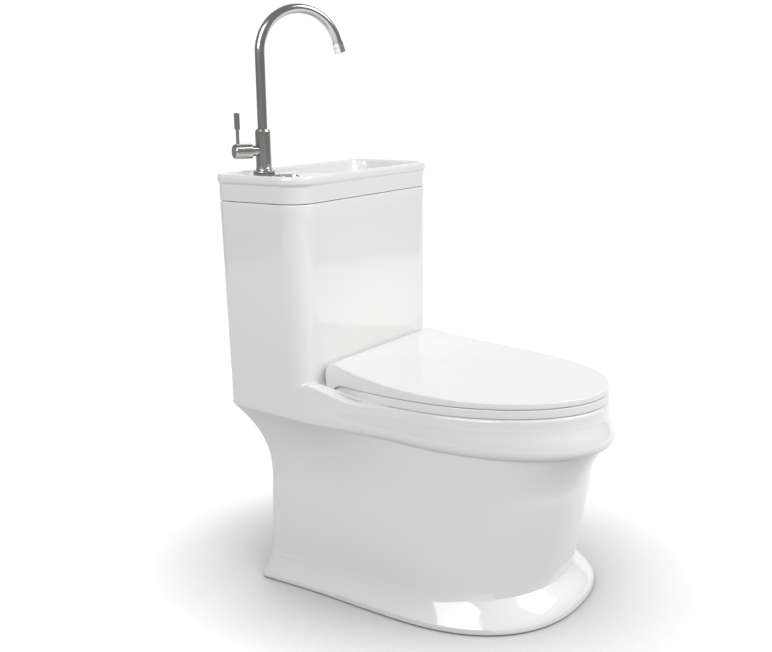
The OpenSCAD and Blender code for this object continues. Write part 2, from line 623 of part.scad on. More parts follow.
module lever_grip() {
    color(STEEL) at_lever(41) difference() {
        rotate_extrude() polygon([[0, 0], [4.8, 0], [5.5, 0.8], [5.5, 30.5], [4.8, 31.5], [0, 31.5]]);
        translate([0, 0, -cut]) cylinder(h = 7 + cut, r = 3.25);
    }
}

// ---- supply to the faucet ----
supply_r = 5;
cap_z = floor_z + fill_h;
// Points of a smooth curve from a to b that leaves towards c and arrives from d
function curve(a, c, d, b, steps) = [for (k = [0 : steps]) let (u = k / steps, w = 1 - u)
    w * w * w * a + 3 * w * w * u * c + 3 * w * u * u * d + u * u * u * b];
module faucet_supply_tube() {
    a = [-faucet_x, -faucet_back, shank_foot_z];
    b = [fill_x - cap_arm, -fill_back - cap_turn, cap_z + 24];
    color(RESIN) from_back()
        sweep(concat([a], curve(a - [0, 0, 6], a - [0, 0, 50], b + [0, 0, 66], b + [0, 0, 6], 18), [b]),
        supply_r - 0.3, 10, [0, 1, 0]);
}
module supply_nut() {
    color(STEEL) at_faucet(shank_foot_z - 4) difference() {
        cylinder(h = 16, r = 24 / sqrt(3), $fn = 6);
        translate([0, 0, 4]) cylinder(h = 13, r = inlet_r);
        translate([0, 0, -cut]) cylinder(h = 8, r = supply_r);
    }
}

// ---- flush buttons ----
sleeve_r = bezel_r - 4.5;
well_r = sleeve_r - 2;
key_r = well_r - 0.5;
spring_foot_z = under_deck_z - 12;
key_z = lid_deck_z + 1;
module at_button(z) { from_back() translate([-button_x, -button_back, z]) children(); }
key_off = 7.5;
module button_bezel() {
    color(CHROME) difference() {
        union() {
            at_button(lid_deck_z) rotate_extrude()
                polygon([[0, 0], [bezel_r, 0], [bezel_r, 1.2], [bezel_r - 1.6, 3.4], [bezel_r - 3, 4], [0, 4]]);
            at_button(spring_foot_z - 3) cylinder(h = lid_deck_z - spring_foot_z + 4, r = sleeve_r);
        }
        at_button(spring_foot_z) cylinder(h = 60, r = well_r);
        for (side = [-1, 1]) at_button(spring_foot_z - 8) translate([side * key_off, 0, 0]) cylinder(h = 20, r = 3);
    }
}
module button_nut() { color(RESIN) at_button(under_deck_z - 9) tube(sleeve_r + 6, sleeve_r, 9); }
module key(side, split) {
    union() {
        intersection() {
            at_button(key_z) rotate_extrude()
                polygon([[0, 0], [key_r, 0], [key_r, 3], [key_r - 1.2, 4.2], [0, 4.2]]);
            at_button(key_z) translate([side > 0 ? split : -40 + split, -20, 0]) cube([40, 40, 10]);
        }
        at_button(spring_foot_z - 2) translate([side * key_off, 0, 0])
            cylinder(h = key_z - spring_foot_z + 2.5, r = 2.6);
    }
}
module full_button() { color(CHROME) key(1, 0.3); }
module half_button() { color(CHROME) key(-1, -0.3); }
module coil(side) {
    h = key_z - spring_foot_z;
    turns = 5;
    at_button(0) translate([side * key_off, 0, 0])
        sweep([for (k = [0 : turns * 12]) let (a = 30 * k)
            [4.6 * cos(a), 4.6 * sin(a), spring_foot_z + 0.7 + (h - 1.4) * k / (turns * 12)]], 0.7, 6, [0, 0, 1]);
}
module full_spring() { color(STEEL) coil(1); }
module half_spring() { color(STEEL) coil(-1); }
rod_foot_z = floor_z + overflow_h + 24;
module push_rod(side) {
    at_button(rod_foot_z) translate([side * key_off, 0, 0]) union() {
        cylinder(h = spring_foot_z - 2 - rod_foot_z, r = 2.6);
        cylinder(h = 3, r = 5);
    }
}
module full_push_rod() { color(RESIN) push_rod(1); }
module half_push_rod() { color(RESIN) push_rod(-1); }

// ---- flush valve ----
module at_flush(z) { from_back() translate([-flush_x, -flush_back, z]) children(); }
seat_ring_z = floor_z + 10;
canister_h = 150;
module flush_gasket() { color(RUBBER) at_flush(floor_z) tube(flush_r + 9, flush_r, 3); }
module flush_valve_base() {
    color(RESIN) at_flush(0) difference() {
        union() {
            translate([0, 0, floor_z - 18]) cylinder(h = 20, r = flush_r);
            translate([0, 0, floor_z + 3]) cylinder(h = 4, r = flush_r + 9);
            translate([0, 0, floor_z - 1]) cylinder(h = 11, r = flush_r);
        }
        translate([0, 0, floor_z - 30]) cylinder(h = 60, r = flush_r - 4);
    }
    color(RESIN) at_flush(0) difference() {
        union() {
            for (k = [0 : 2]) rotate(120 * k + 90) translate([10, -1.5, floor_z - 16]) cube([flush_r - 13, 3, 14]);
            translate([0, 0, floor_z - 16]) cylinder(h = 16, r = 13.5);
        }
        translate([0, 0, floor_z - 30]) cylinder(h = 60, r = 11);
    }
}
module overflow_tube() { color(RESIN) at_flush(floor_z - 12) tube(11, 9, overflow_h + 12); }
module flush_seal() { color(RUBBER) at_flush(seat_ring_z) tube(flush_r, 12.5, 3); }
module flush_canister() {
    color(BLUE) at_flush(seat_ring_z + 3) difference() {
        union() {
            cylinder(h = 3, r = flush_r);
            cylinder(h = canister_h, r = flush_r - 8);
            translate([0, 0, canister_h - 4]) cylinder(h = 4, r = flush_r - 5);
        }
        translate([0, 0, 4]) cylinder(h = canister_h - 10, r = flush_r - 10.5);
        translate([0, 0, -cut]) cylinder(h = canister_h + 2 * cut, r = 11.5);
    }
}
bridge_z = floor_z + overflow_h - 26;
module flush_bridge() {
    color(RESIN) {
        at_flush(0) for (k = [0 : 2]) rotate(120 * k) translate([flush_r + 5, 0, floor_z + 7])
            cylinder(h = bridge_z - floor_z - 5, r = 3.5);
        at_flush(bridge_z) difference() {
            union() {
                cylinder(h = 6, r = flush_r + 9);
                cylinder(h = 20, r = 15);
            }
            translate([0, 0, -cut]) cylinder(h = 40, r = 11);
        }
        difference() {
            at_button(bridge_z) union() {
                translate([-key_off - 6, -8, 0]) cube([2 * key_off + 12, 16, 44]);
            }
            at_flush(bridge_z - cut) cylinder(h = 50, r = 14);
        }
    }
}

// ---- fill valve ----
module at_fill(z) { from_back() translate([fill_x, -fill_back, z]) children(); }
column_r = 13;
float_z = floor_z + 78;
// Outlets of the valve's cap: to the faucet and to the overflow tube
cap_arm = 32;
cap_turn = 18;
refill_reach = 30;
module fill_valve_column() {
    color(RESIN) difference() {
        union() {
            at_fill(floor_z + 3) cylinder(h = 4, r = 22);
            at_fill(floor_z + 3) cylinder(h = fill_h - 3, r = column_r);
            at_fill(float_z - 5) cylinder(h = 5, r = column_r + 4);
            at_fill(inlet_seat_z - 10) cylinder(h = floor_z + 4 - inlet_seat_z + 10, r = shank_r);
            at_fill(inlet_seat_z - 40) cylinder(h = 31, r = inlet_r);
        }
        at_fill(inlet_seat_z - 41) cylinder(h = fill_h + 90, r = 6.5);
    }
}
module fill_gasket() { color(RUBBER) at_fill(floor_z) tube(20, shank_r, 3); }
module fill_nut() {
    color(RESIN) at_fill(inlet_seat_z - 9) union() {
        hex_nut(30, shank_r, 7);
        translate([0, 0, 7]) tube(19, shank_r, 2);
    }
}
module fill_valve_cap() {
    color(RESIN) union() {
        at_fill(cap_z) rotate_extrude() polygon([[0, 0], [22, 0], [22, 16], [18, 21], [0, 21]]);
        at_fill(cap_z + 6) translate([-cap_arm, -cap_turn, 0]) cylinder(h = 18, r = supply_r);
        at_fill(cap_z + 6) rotate(30) translate([-38, -5, 0]) cube([20, 10, 6]);
        at_fill(cap_z + 10) rotate([90, 0, 0]) cylinder(h = refill_reach, r = 3);
    }
}
module fill_float() {
    color(PLASTIC) at_fill(float_z) difference() {
        cylinder(h = 58, r = 27);
        translate([0, 0, -cut]) cylinder(h = 80, r = column_r + air);
        translate([0, 0, -cut]) difference() {
            cylinder(h = 50, r = 25);
            cylinder(h = 60, r = column_r + 3);
        }
    }
}
module refill_tube() {
    a = [fill_x, -fill_back - refill_reach, cap_z + 10];
    b = [-flush_x + 3, -flush_back, floor_z + overflow_h - 12];
    top = b + [0, 0, 34];
    color(RESIN) from_back()
        sweep(concat([a], curve(a - [0, 5, 0], a - [20, 60, 0], top + [10, 0, 60], top, 18), [b]),
            2.8, 8, [-1, 1, 1]);
}

// ---- seat ----
SEAT_SPREAD = 1.6;
// Seat outline: egg shape with extra points near the hinge
function seat_half(w, wr, yb, yf, rb, n = 2) = concat(
    [for (k = [0 : 1]) [min(110, wr - rb) * k, yb]],
    [for (k = [0 : REAR_PTS - 1]) let (a = 90 - 90 * k / (REAR_PTS - 1))
        [wr - rb + rb * cos(a), yb - rb + rb * sin(a)]],
    [for (k = [1 : SIDE_PTS + TURN_PTS]) let (u = pow(k / (SIDE_PTS + TURN_PTS), SEAT_SPREAD))
        [mix(wr, w, 1 - (1 - u) * (1 - u)), mix(yb - rb, wide_y, u)]],
    [for (k = [1 : FRONT_PTS]) let (t = 90 * k / FRONT_PTS)
        [w * pow(cos(t), 2 / n), wide_y - (wide_y - yf) * pow(sin(t), 2 / n)]]);
notch_x = 106;
// Cover buffers: distance from the middle and place
COVER_PADS = [[146, -330], [112, -575]];
module seat_ring() {
    // The ring ends inside the cover's sides, just behind the hinge axis
    side_in = cover_t - 0.8;
    back = -hinge_back + tip_back;
    function outer(inset, yb, z) =
        ring(seat_half(seat_w / 2 - inset, seat_rear_w / 2 - side_in - inset, yb, -seat_reach + inset, 18), z);
    function hole(grow, z) = ring(seat_half(0.6 * seat_w / 2 + grow, 0.46 * seat_w / 2 + grow,
        -bowl_back - 12 + grow, -(bowl_back + bowl_l) - 1 - grow, 40), z);
    top = seat_z + seat_t;
    color(PLASTIC) from_back() difference() {
        union() {
            difference() {
                hoop([outer(2, back - 3, seat_z), outer(0, back - 1, seat_z + 2.5),
                    outer(0, back, seat_z + 9), outer(0, back - 0.5, top - 2.5),
                    outer(2.5, back - 3, top), hole(12, top), hole(4, top - 1.5), hole(0, top - 6),
                    hole(0, seat_z + 3), hole(2, seat_z)]);
                translate([-notch_x, -hinge_back - 34, seat_z - cut]) cube([2 * notch_x, 60, 40]);
            }
            for (side = [-1, 1])
                translate([side * (hinge_spacing / 2 - 15) - 3.5, -hinge_back, hinge_z]) rotate([90, 0, 90])
                linear_extrude(height = 7) union() {
                    circle(r = 8);
                    polygon([[-6.5, 4.5], [4.8, -6.4], [-34, -(hinge_z - seat_z) + 1],
                        [-42, -(hinge_z - seat_z) + 4], [-42, -(hinge_z - top) - 2]]);
                }
        }
        for (side = [-1, 1]) translate([side * (hinge_spacing / 2 - 15), -hinge_back, hinge_z]) rotate([0, 90, 0])
            cylinder(h = 12, r = pin_r + run_gap, center = true);
    }
}
module seat_buffers() {
    color(RUBBER) from_back() for (side = [-1, 1], p = [[158, -330], [128, -575]])
        translate([side * p[0], p[1], rim_height]) cylinder(h = seat_gap, r = 8);
}

cover_top_front = cover_z + cover_edge;
function heel_z(y) = sqrt(max(0, pow(heel_r, 2) - pow(y + hinge_back, 2)));
// Height of the cover's upper edge over the point at y
function cover_edge_z(y) = y > -hinge_back ? hinge_z + heel_z(y)
    : mix(hinge_z + heel_r, cover_top_front, 1 - pow(clamp01(1 + (y + hinge_back) / (seat_reach - hinge_back)), 3.5));
// Height of the cover's lower edge; its sides run down round the hinge, nearly to the rim
function side_foot_z(y) = let (back = y + hinge_back) back > tip_back
    ? hinge_z - heel_foot * pow(max(0, 1 - pow(back / heel_r, 2.6)), 1 / 2.6)
    : mix(hinge_z - heel_foot, cover_z, 1 - pow(1 - clamp01((tip_back - back) / 40), 3));
function cover_foot_z(x, y) = abs(x) <= 111 && y > -hinge_back - 19.5 ? hinge_z - 2
    : min(side_foot_z(y), hinge_z - 2);
cover_mid = -(hinge_back + 215);
module seat_cover() {
    t = cover_t;
    function edge(inset, yb) =
        seat_half(seat_w / 2 - inset, seat_rear_w / 2 + 2 - inset, yb, -seat_reach + inset, 18 - inset);
    // s shrinks the outline towards the middle, where the cover is crowned
    function top(s, inset, drop) = [for (p = ring(edge(inset, -hinge_back + 19.5), 0))
        let (x = p[0] * s, y = mix(cover_mid, p[1], s))
        [x, y, cover_edge_z(y) - drop + cover_crown * (1 - pow(s, 2.5)) * clamp01(-3 * (y + hinge_back) / 475)]];
    function foot(inset, yb, up) = [for (p = ring(edge(inset, yb), 0)) [p[0], p[1], cover_foot_z(p[0], p[1]) + up]];
    function level(inset, yb, u) = [for (p = ring(edge(inset, yb), 0))
        [p[0], p[1], mix(cover_foot_z(p[0], p[1]), cover_edge_z(p[1]), u)]];
    lug_x = hinge_spacing / 2 + 15;
    color(PLASTIC) from_back() difference() {
        union() {
            skin([for (s = [0.25, 0.5, 0.72, 0.88, 0.97]) top(s, t, t), level(t, -hinge_back + 18, 0.55),
                foot(t, -hinge_back + 18.5, 0), foot(0.8, -hinge_back + 21.5, 0), level(0, -hinge_back + 22.5, 0.1),
                level(0, -hinge_back + 23.3, 0.5), level(0.4, -hinge_back + 22, 0.86),
                for (s = [0.99, 0.965, 0.9, 0.75, 0.5, 0.25]) top(s, 0, 0)]);
            for (side = [-1, 1]) translate([side * lug_x - 3.5, -hinge_back, hinge_z]) rotate([90, 0, 90])
                linear_extrude(height = 7) union() {
                    circle(r = 8);
                    translate([-8, 0]) square([16, heel_r - 2.5]);
                }
            // Bosses for the buffers, cut off inside the wall of the cover
            intersection() {
                for (side = [-1, 1], p = COVER_PADS) translate([side * p[0], p[1], cover_z + 1.5])
                    cylinder(h = hinge_up + heel_r, r = 8);
                skin([[for (p = top(1, t / 2, t / 2)) [p[0], p[1], cover_z - cut]],
                    for (s = [1, 0.88, 0.72, 0.5, 0.25]) top(s, t / 2, t / 2)]);
            }
        }
        for (side = [-1, 1]) translate([side * lug_x, -hinge_back, hinge_z]) rotate([0, 90, 0])
            cylinder(h = 12, r = pin_r + run_gap, center = true);
        for (side = [-1, 1], p = COVER_PADS) translate([side * p[0], p[1], cover_z])
            cylinder(h = 4.5, r = 5);
    }
}
module cover_buffers() {
    color(RUBBER) from_back() for (side = [-1, 1], p = COVER_PADS)
        translate([side * p[0], p[1], cover_z - cover_gap]) cylinder(h = 4.5 + cover_gap, r = 5);
}
module hinge_posts() {
    color(CHROME) from_back() for (side = [-1, 1]) translate([side * hinge_spacing / 2, 0, 0]) difference() {
        union() {
            translate([0, post_y, rim_height]) cylinder(h = 4.5, r = 16);
            translate([-10, -hinge_back, hinge_z]) rotate([90, 0, 90]) linear_extrude(height = 20) union() {
                circle(r = 8.5);
                polygon([[-8, 3], [8.3, -2], [-9.5, -hinge_up + 4], [-25, -hinge_up + 4]]);
            }
        }
        translate([-20, -hinge_back, hinge_z]) rotate([0, 90, 0]) cylinder(h = 40, r = pin_r);
        translate([0, post_y - 2, rim_height - cut]) cylinder(h = 14, r = 3);
    }
}
module hinge_pins() {
    color(STEEL) from_back() for (side = [-1, 1]) translate([side * hinge_spacing / 2 - 22, -hinge_back, hinge_z])
        rotate([0, 90, 0]) cylinder(h = 44, r = pin_r);
}
module hinge_bolts() {
    color(STEEL) from_back() for (side = [-1, 1]) translate([side * hinge_spacing / 2, post_y - 2, rim_height - 42])
        cylinder(h = 50, r = 3);
}
module hinge_plugs() {
    color(RUBBER) from_back() for (side = [-1, 1])
        translate([side * hinge_spacing / 2, post_y, rim_height - 44]) difference() {
        cylinder(h = 44, r = plug_r);
        translate([0, -2, 2]) cylinder(h = 60, r = 3);
    }
}

ceramic_pan_and_cistern();
cistern_lid_basin();
lid_pads();
outlet_seal();
seat_ring();
seat_buffers();
seat_cover();
cover_buffers();
hinge_posts();
hinge_pins();
hinge_bolts();
hinge_plugs();
basin_waste();
waste_strainer();
waste_gasket();
waste_nut();
faucet_flange();
faucet_gasket();
faucet_body();
faucet_shank();
faucet_nut();
swan_neck();
neck_seals();
aerator_housing();
aerator_mesh();
valve_neck();
valve_stem();
lever_barrel();
lever_rod();
lever_grip();
faucet_supply_tube();
supply_nut();
button_bezel();
button_nut();
full_button();
half_button();
full_spring();
half_spring();
full_push_rod();
half_push_rod();
flush_valve_base();
flush_gasket();
overflow_tube();
flush_bridge();
flush_canister();
flush_seal();
fill_valve_column();
fill_valve_cap();
fill_gasket();
fill_nut();
fill_float();
refill_tube();
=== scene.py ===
"""Looks of a one-piece toilet whose cistern lid is a hand basin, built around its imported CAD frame.

Lengths in the shapes below are millimetres, x from the middle, y from the cistern's back and z from
the floor, as in the CAD source. to_row() turns them into the frame's metres, whose origin is the
centre of the waste outlet.
"""
import json
import math

import bmesh
import bpy
import numpy as np
from mathutils import Matrix, Vector


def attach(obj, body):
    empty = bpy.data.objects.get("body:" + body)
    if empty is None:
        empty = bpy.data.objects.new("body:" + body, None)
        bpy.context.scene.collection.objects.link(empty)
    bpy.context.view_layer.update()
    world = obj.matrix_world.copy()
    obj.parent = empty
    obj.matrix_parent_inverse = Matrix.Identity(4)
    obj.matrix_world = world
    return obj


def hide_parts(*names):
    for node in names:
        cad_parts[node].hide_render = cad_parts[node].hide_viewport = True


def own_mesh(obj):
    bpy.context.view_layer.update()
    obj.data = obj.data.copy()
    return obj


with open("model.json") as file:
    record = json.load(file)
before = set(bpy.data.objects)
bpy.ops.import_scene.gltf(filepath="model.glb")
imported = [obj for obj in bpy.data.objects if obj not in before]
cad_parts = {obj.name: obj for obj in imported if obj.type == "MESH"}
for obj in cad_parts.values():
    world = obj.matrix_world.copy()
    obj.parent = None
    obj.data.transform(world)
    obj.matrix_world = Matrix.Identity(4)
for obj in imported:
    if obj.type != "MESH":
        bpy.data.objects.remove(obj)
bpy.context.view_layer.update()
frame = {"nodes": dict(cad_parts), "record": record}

# ---------------------------------------------------------------- driving sizes
# Millimetres, with places as (x, y) and BOSSES as (x, y, height). SPOUT_DIR and NECK_TURN are radians,
# and a NOSE, POWER or SHARE is a pure number.

# Rim, and the band with its rounded lip below it
RIM_Z = 400.0
RIM_W = 398.0
RIM_REACH = 702.0
WIDE_Y = -409.0
RIM_EDGE_R = 6.0
SIDE_EDGE_R = 12.0
SWEEP = 22.0
LIP_Z = 341.5
LIP_R = 16.0
LIP_OUT = 12.0
BAND_DROP = 40.0

# Cove, pedestal and plinth
COVE_Z = 221.5
COVE_RISE = 30.0
COVE_SHARE = 0.97
PEDESTAL_W = 404.0
PEDESTAL_WAIST = 8.0
PEDESTAL_REAR_R = 14.0
PEDESTAL_NOSE = 2.25
PEDESTAL_BACK = 67.0
PEDESTAL_TUCK = 40.0
PEDESTAL_LEAN = 36.0
PLINTH_W = 458.0
PLINTH_TOE = 39.0
PLINTH_HEEL = 9.0
PLINTH_H = 54.0
PLINTH_EDGE = 13.0
CLAY_T = 13.0

# Cistern
CISTERN_W = 465.0
CISTERN_FOOT_W = 444.0
CISTERN_D = 198.0
CISTERN_R = 46.0
CISTERN_REAR_R = 20.0
SEAM_Z = 761.0
SHOULDER_R = 24.0
CROWN_R = 3.0

# Bowl, trapway and outlet
BOWL_W = 262.0
BOWL_L = 345.0
BOWL_BACK = 292.0
BOWL_DEPTH = 272.0
SUMP_AHEAD = 58.0
SUMP_HALF_W = 38.0
SUMP_REAR = 42.0
SUMP_FRONT = 48.0
TRAP_R = 26.0
TRAP_BEND = 45.0
TRAP_RISE = 46.0
ELBOW_R = 36.0
OUTLET_BACK = 300.0
OUTLET_R = 41.0
OUTLET_H = 40.0

# Holes and sockets in the clay
SOCKET_WALL = 9.0
FLUSH = (-158.0, -126.0)
FLUSH_HOLE_R = 32.5
INLET = (160.0, -45.0)
INLET_HOLE_R = 12.0
RECESS_R = 24.0
RECESS_Z = 180.0
RECESS_H = 204.0
BOLT_SIDE = 77.5
BOLT_BACK = 238.0
PLUG_R = 8.0

# Lid and basin
LID_FOOT_Z = 762.2
LID_TOP_Z = 812.2
LID_DECK_Z = 809.7
LID_T = 9.0
SKIRT_EDGE_R = 1.5
ROLL_H = 17.0
ROLL_OUT = 4.5
RIM_LIP = 13.0
BASIN_DEPTH = 60.0
BASIN_LEFT = 100.0
BASIN_END = 14.5
BASIN_RIM = 14.0
BASIN_REAR_R = 30.0
BASIN_FRONT_R = 34.0
FLOOR_LEFT = 20.0
FLOOR_RIGHT = 190.0
FLOOR_BACK = 40.0
FLOOR_FRONT = 38.0
WASTE = (85.0, -99.0)
WASTE_HOLE_R = 22.0
BUTTON = (-186.0, -138.0)
BUTTON_HOLE_R = 19.6

# Faucet
FAUCET = (-140.0, -44.0)
FAUCET_HOLE_R = 11.6
SPOUT_DIR = math.radians(-27.0)
NECK_R = 9.5
NECK_T = 1.5
NECK_BEND = 84.0
NECK_TURN = math.radians(163.0)
NECK_FOOT_Z = 871.2
BEND_Z = 1035.2

# Seat ring and cover
SEAT_Z = 402.0
SEAT_T = 15.0
SEAT_W = 395.0
SEAT_REAR_W = 0.865 * SEAT_W
SEAT_REACH = 700.0
HOLE_SHARE = 0.6
HOLE_REAR_SHARE = 0.46
COVER_Z = 418.5
COVER_TOP_FRONT = 429.5
COVER_T = 4.0
COVER_CROWN = 9.0
HEEL_R = 26.3
HEEL_FOOT = 31.2
HEEL_POWER = 2.35
TIP_BACK = 9.0
BOSS_R = 8.0
BOSSES = ((146, -330, 20), (112, -575, 12))

# Hinge, with arms on ring and cover, and the notches that clear them
HINGE_BACK = 225.0
HINGE_Z = 432.0
PIN_HOLE_R = 3.05
ARM_R = 8.0
ARM_T = 7.0
ARMS = 110.0
SEAT_ARM = 62.5
COVER_ARM = 92.5
NOTCH = 106.0
COVER_NOTCH = 111.0


def mix(a, b, t):
    """From a, where t is 0, to b, where t is 1."""
    return a + (b - a) * t


def ease(t):
    """From 0 to 1 with a flat start and end."""
    return t * t * (3 - 2 * t)


def ramp(value, start, length):
    """Eases from 0, where value is start, to 1, where it has gone on by length."""
    return ease(np.clip((value - start) / length, 0, 1))


def angles(start, end, count):
    """count angles in radians from start to end, which are in degrees."""
    return np.radians(np.linspace(start, end, count))


def to_row(points):
    """Millimetres from the cistern's back to metres in the frame."""
    return (np.asarray(points, float) + (0.0, OUTLET_BACK, 0.0)) * 0.001


# ---------------------------------------------------------------- outlines seen from above
# Points along the back, the rear corner, the side, the turn into the front, and the front.
BACK, REAR, SIDE, TURN, FRONT = 6, 12, 12, 26, 56


def steps(a, b, n):
    """n values after a, the last of which is b."""
    return a + (b - a) * np.arange(1, n + 1) / n


def back_part(w, yb, rb):
    """Half of the back at yb, out to half width w, with its rear corner of radius rb."""
    x = (w - rb) * np.arange(BACK) / BACK
    a = np.linspace(math.pi / 2, 0, REAR)
    return np.concatenate([np.stack([x, np.full(BACK, yb)], 1),
                           np.stack([w - rb + rb * np.cos(a), yb - rb + rb * np.sin(a)], 1)])


def box_half(w, yb, yf, rb, rf, ry=None):
    """Right half of a rounded box, from the middle of its back to the middle of its front.

    Its front corner reaches rf to the side and ry to the back."""
    a = -steps(0, math.pi / 2, TURN)
    ry = ry or rf
    side = np.stack([np.full(SIDE, w), steps(yb - rb, yf + ry, SIDE)], 1)
    turn = np.stack([w - rf + rf * np.cos(a), yf + ry + ry * np.sin(a)], 1)
    front = np.stack([(w - rf) * (1 - steps(0, 1, FRONT)), np.full(FRONT, yf)], 1)
    return np.concatenate([back_part(w, yb, rb), side, turn, front])


def nose(w, ym, yf, n):
    """From half width w at ym round to the tip at yf, fuller than an ellipse where n is over 2."""
    t = steps(0, math.pi / 2, FRONT)
    return np.stack([w * np.cos(t).clip(0) ** (2 / n), ym - (ym - yf) * np.sin(t) ** (2 / n)], 1)


def pan_half(wb, wm, yb, ys, ym, yf, rb, n):
    """Half of a pan: straight sides to ys, easing to half width wm at ym, then a rounded nose."""
    side = np.stack([np.full(SIDE, wb), steps(yb - rb, ys, SIDE)], 1)
    u = steps(0, 1, TURN)
    turn = np.stack([mix(wb, wm, ease(u)), mix(ys, ym, u)], 1)
    return np.concatenate([back_part(wb, yb, rb), side, turn, nose(wm, ym, yf, n)])


def egg_half(wr, w, yb, ym, yf, rb, n):
    """Half of an egg: it swells from half width wr at the back to w at ym."""
    u = steps(0, 1, SIDE + TURN)
    side = np.stack([mix(wr, w, 1 - (1 - u) ** 2), mix(yb - rb, ym, u)], 1)
    return np.concatenate([back_part(wr, yb, rb), side, nose(w, ym, yf, n)])


def ring(half, z, xc=0.0):
    """The whole closed outline at height z, which may be one number or one for each point."""
    half = np.asarray(half)
    x = np.concatenate([half[:, 0], -half[-2:0:-1, 0]]) + xc
    y = np.concatenate([half[:, 1], half[-2:0:-1, 1]])
    z = np.full(len(x), float(z)) if np.isscalar(z) else z
    return np.stack([x, y, z], 1)


# ---------------------------------------------------------------- meshes
def mesh_piece(name, verts, faces, body, material):
    """An object from millimetres; a cutter has neither body nor material."""
    mesh = bpy.data.meshes.new(name)
    mesh.from_pydata([tuple(v) for v in to_row(verts)], [], faces)
    mesh.validate()
    mesh.update()
    piece = bpy.data.objects.new(name, mesh)
    bpy.context.scene.collection.objects.link(piece)
    if material:
        mesh.materials.append(material)
    mesh.polygons.foreach_set("use_smooth", [True] * len(mesh.polygons))
    if body:
        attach(piece, body)
    return piece


def skin_faces(n, m, closed=False):
    """Quads between m outlines of n points; closed joins the last outline to the first."""
    faces = []
    for j in range(m if closed else m - 1):
        low, high = j * n, (j + 1) % m * n
        faces += [(low + (i + 1) % n, high + (i + 1) % n, high + i, low + i) for i in range(n)]
    return faces


def loft(rings):
    """Points and faces through outlines of equally many points, with flat fans over the two ends."""
    n, m = len(rings[0]), len(rings)
    top = (m - 1) * n
    verts = np.concatenate(rings + [[rings[0].mean(0)], [rings[-1].mean(0)]])
    faces = skin_faces(n, m)
    faces += [(m * n, i, (i + 1) % n) for i in range(n)]
    faces += [(m * n + 1, top + (i + 1) % n, top + i) for i in range(n)]
    return verts, faces


def skin(name, rings, body, material, closed=False):
    """A piece through outlines; closed makes it a loop of them, with no ends."""
    if closed:
        verts, faces = np.concatenate(rings), skin_faces(len(rings[0]), len(rings), closed)
    else:
        verts, faces = loft(rings)
    piece = mesh_piece(name, verts, faces, body, material)
    recalc(piece)
    return piece


def recalc(piece):
    """Turns every face outwards."""
    bm = bmesh.new()
    bm.from_mesh(piece.data)
    bmesh.ops.recalc_face_normals(bm, faces=bm.faces)
    bm.to_mesh(piece.data)
    bm.free()


def cylinder(r, at, h, sides=96):
    """Points and faces of a cylinder with its foot's centre at the point at."""
    a = np.arange(sides) * 2 * math.pi / sides
    circle = np.stack([np.cos(a), np.sin(a), np.zeros(sides)], 1)
    low = circle * r + at
    high = low + np.array([0, 0, h])
    verts = np.concatenate([low, high, [low.mean(0)], [high.mean(0)]])
    faces = [(i, (i + 1) % sides, sides + (i + 1) % sides, sides + i) for i in range(sides)]
    faces += [(2 * sides, (i + 1) % sides, i) for i in range(sides)]
    faces += [(2 * sides + 1, sides + i, sides + (i + 1) % sides) for i in range(sides)]
    return verts, faces


def block(side, front, back, low, high):
    """Points and faces of a box that reaches side to the left and to the right."""
    foot = [(-side, front), (side, front), (side, back), (-side, back)]
    verts = [(x, y, z) for z in (low, high) for x, y in foot]
    faces = [(3, 2, 1, 0), (4, 5, 6, 7)]
    faces += [(i, (i + 1) % 4, (i + 1) % 4 + 4, i + 4) for i in range(4)]
    return np.array(verts, float), faces


def cut(piece, cutters):
    """Takes closed cutters, each an object or (verts, faces) in millimetres, out of a piece."""
    for k, tool in enumerate(cutters):
        if isinstance(tool, tuple):
            tool = mesh_piece(f"cutter{k}", *tool, None, None)
            recalc(tool)
        mod = piece.modifiers.new("cut", "BOOLEAN")
        mod.operation, mod.solver, mod.object = "DIFFERENCE", "EXACT", tool
        apply_modifiers(piece)
        mesh = tool.data
        bpy.data.objects.remove(tool)
        bpy.data.meshes.remove(mesh)


def apply_modifiers(piece):
    """Puts the mesh that the modifiers make in place of the piece's own."""
    graph = bpy.context.evaluated_depsgraph_get()
    graph.update()
    new = bpy.data.meshes.new_from_object(piece.evaluated_get(graph))
    old, name = piece.data, piece.data.name
    piece.modifiers.clear()
    piece.data = new
    bpy.data.meshes.remove(old)
    new.name = name


def sharpen(piece, degrees=32.0):
    """Smooth shading, with a crease where faces meet at more than this angle."""
    piece.data.polygons.foreach_set("use_smooth", [True] * len(piece.data.polygons))
    piece.data.set_sharp_from_angle(angle=math.radians(degrees))


# ---------------------------------------------------------------- camera
CAM_AT = Vector((-1.7402, -1.3921 + OUTLET_BACK / 1000, 0.9760))
YAW, PITCH, ROLL = math.radians(58.6), math.radians(11.79), math.radians(-0.43)
FOCAL_PX, CENTRE_PX, IMAGE = 1061.95, (428.8, 305.2), (772, 652)


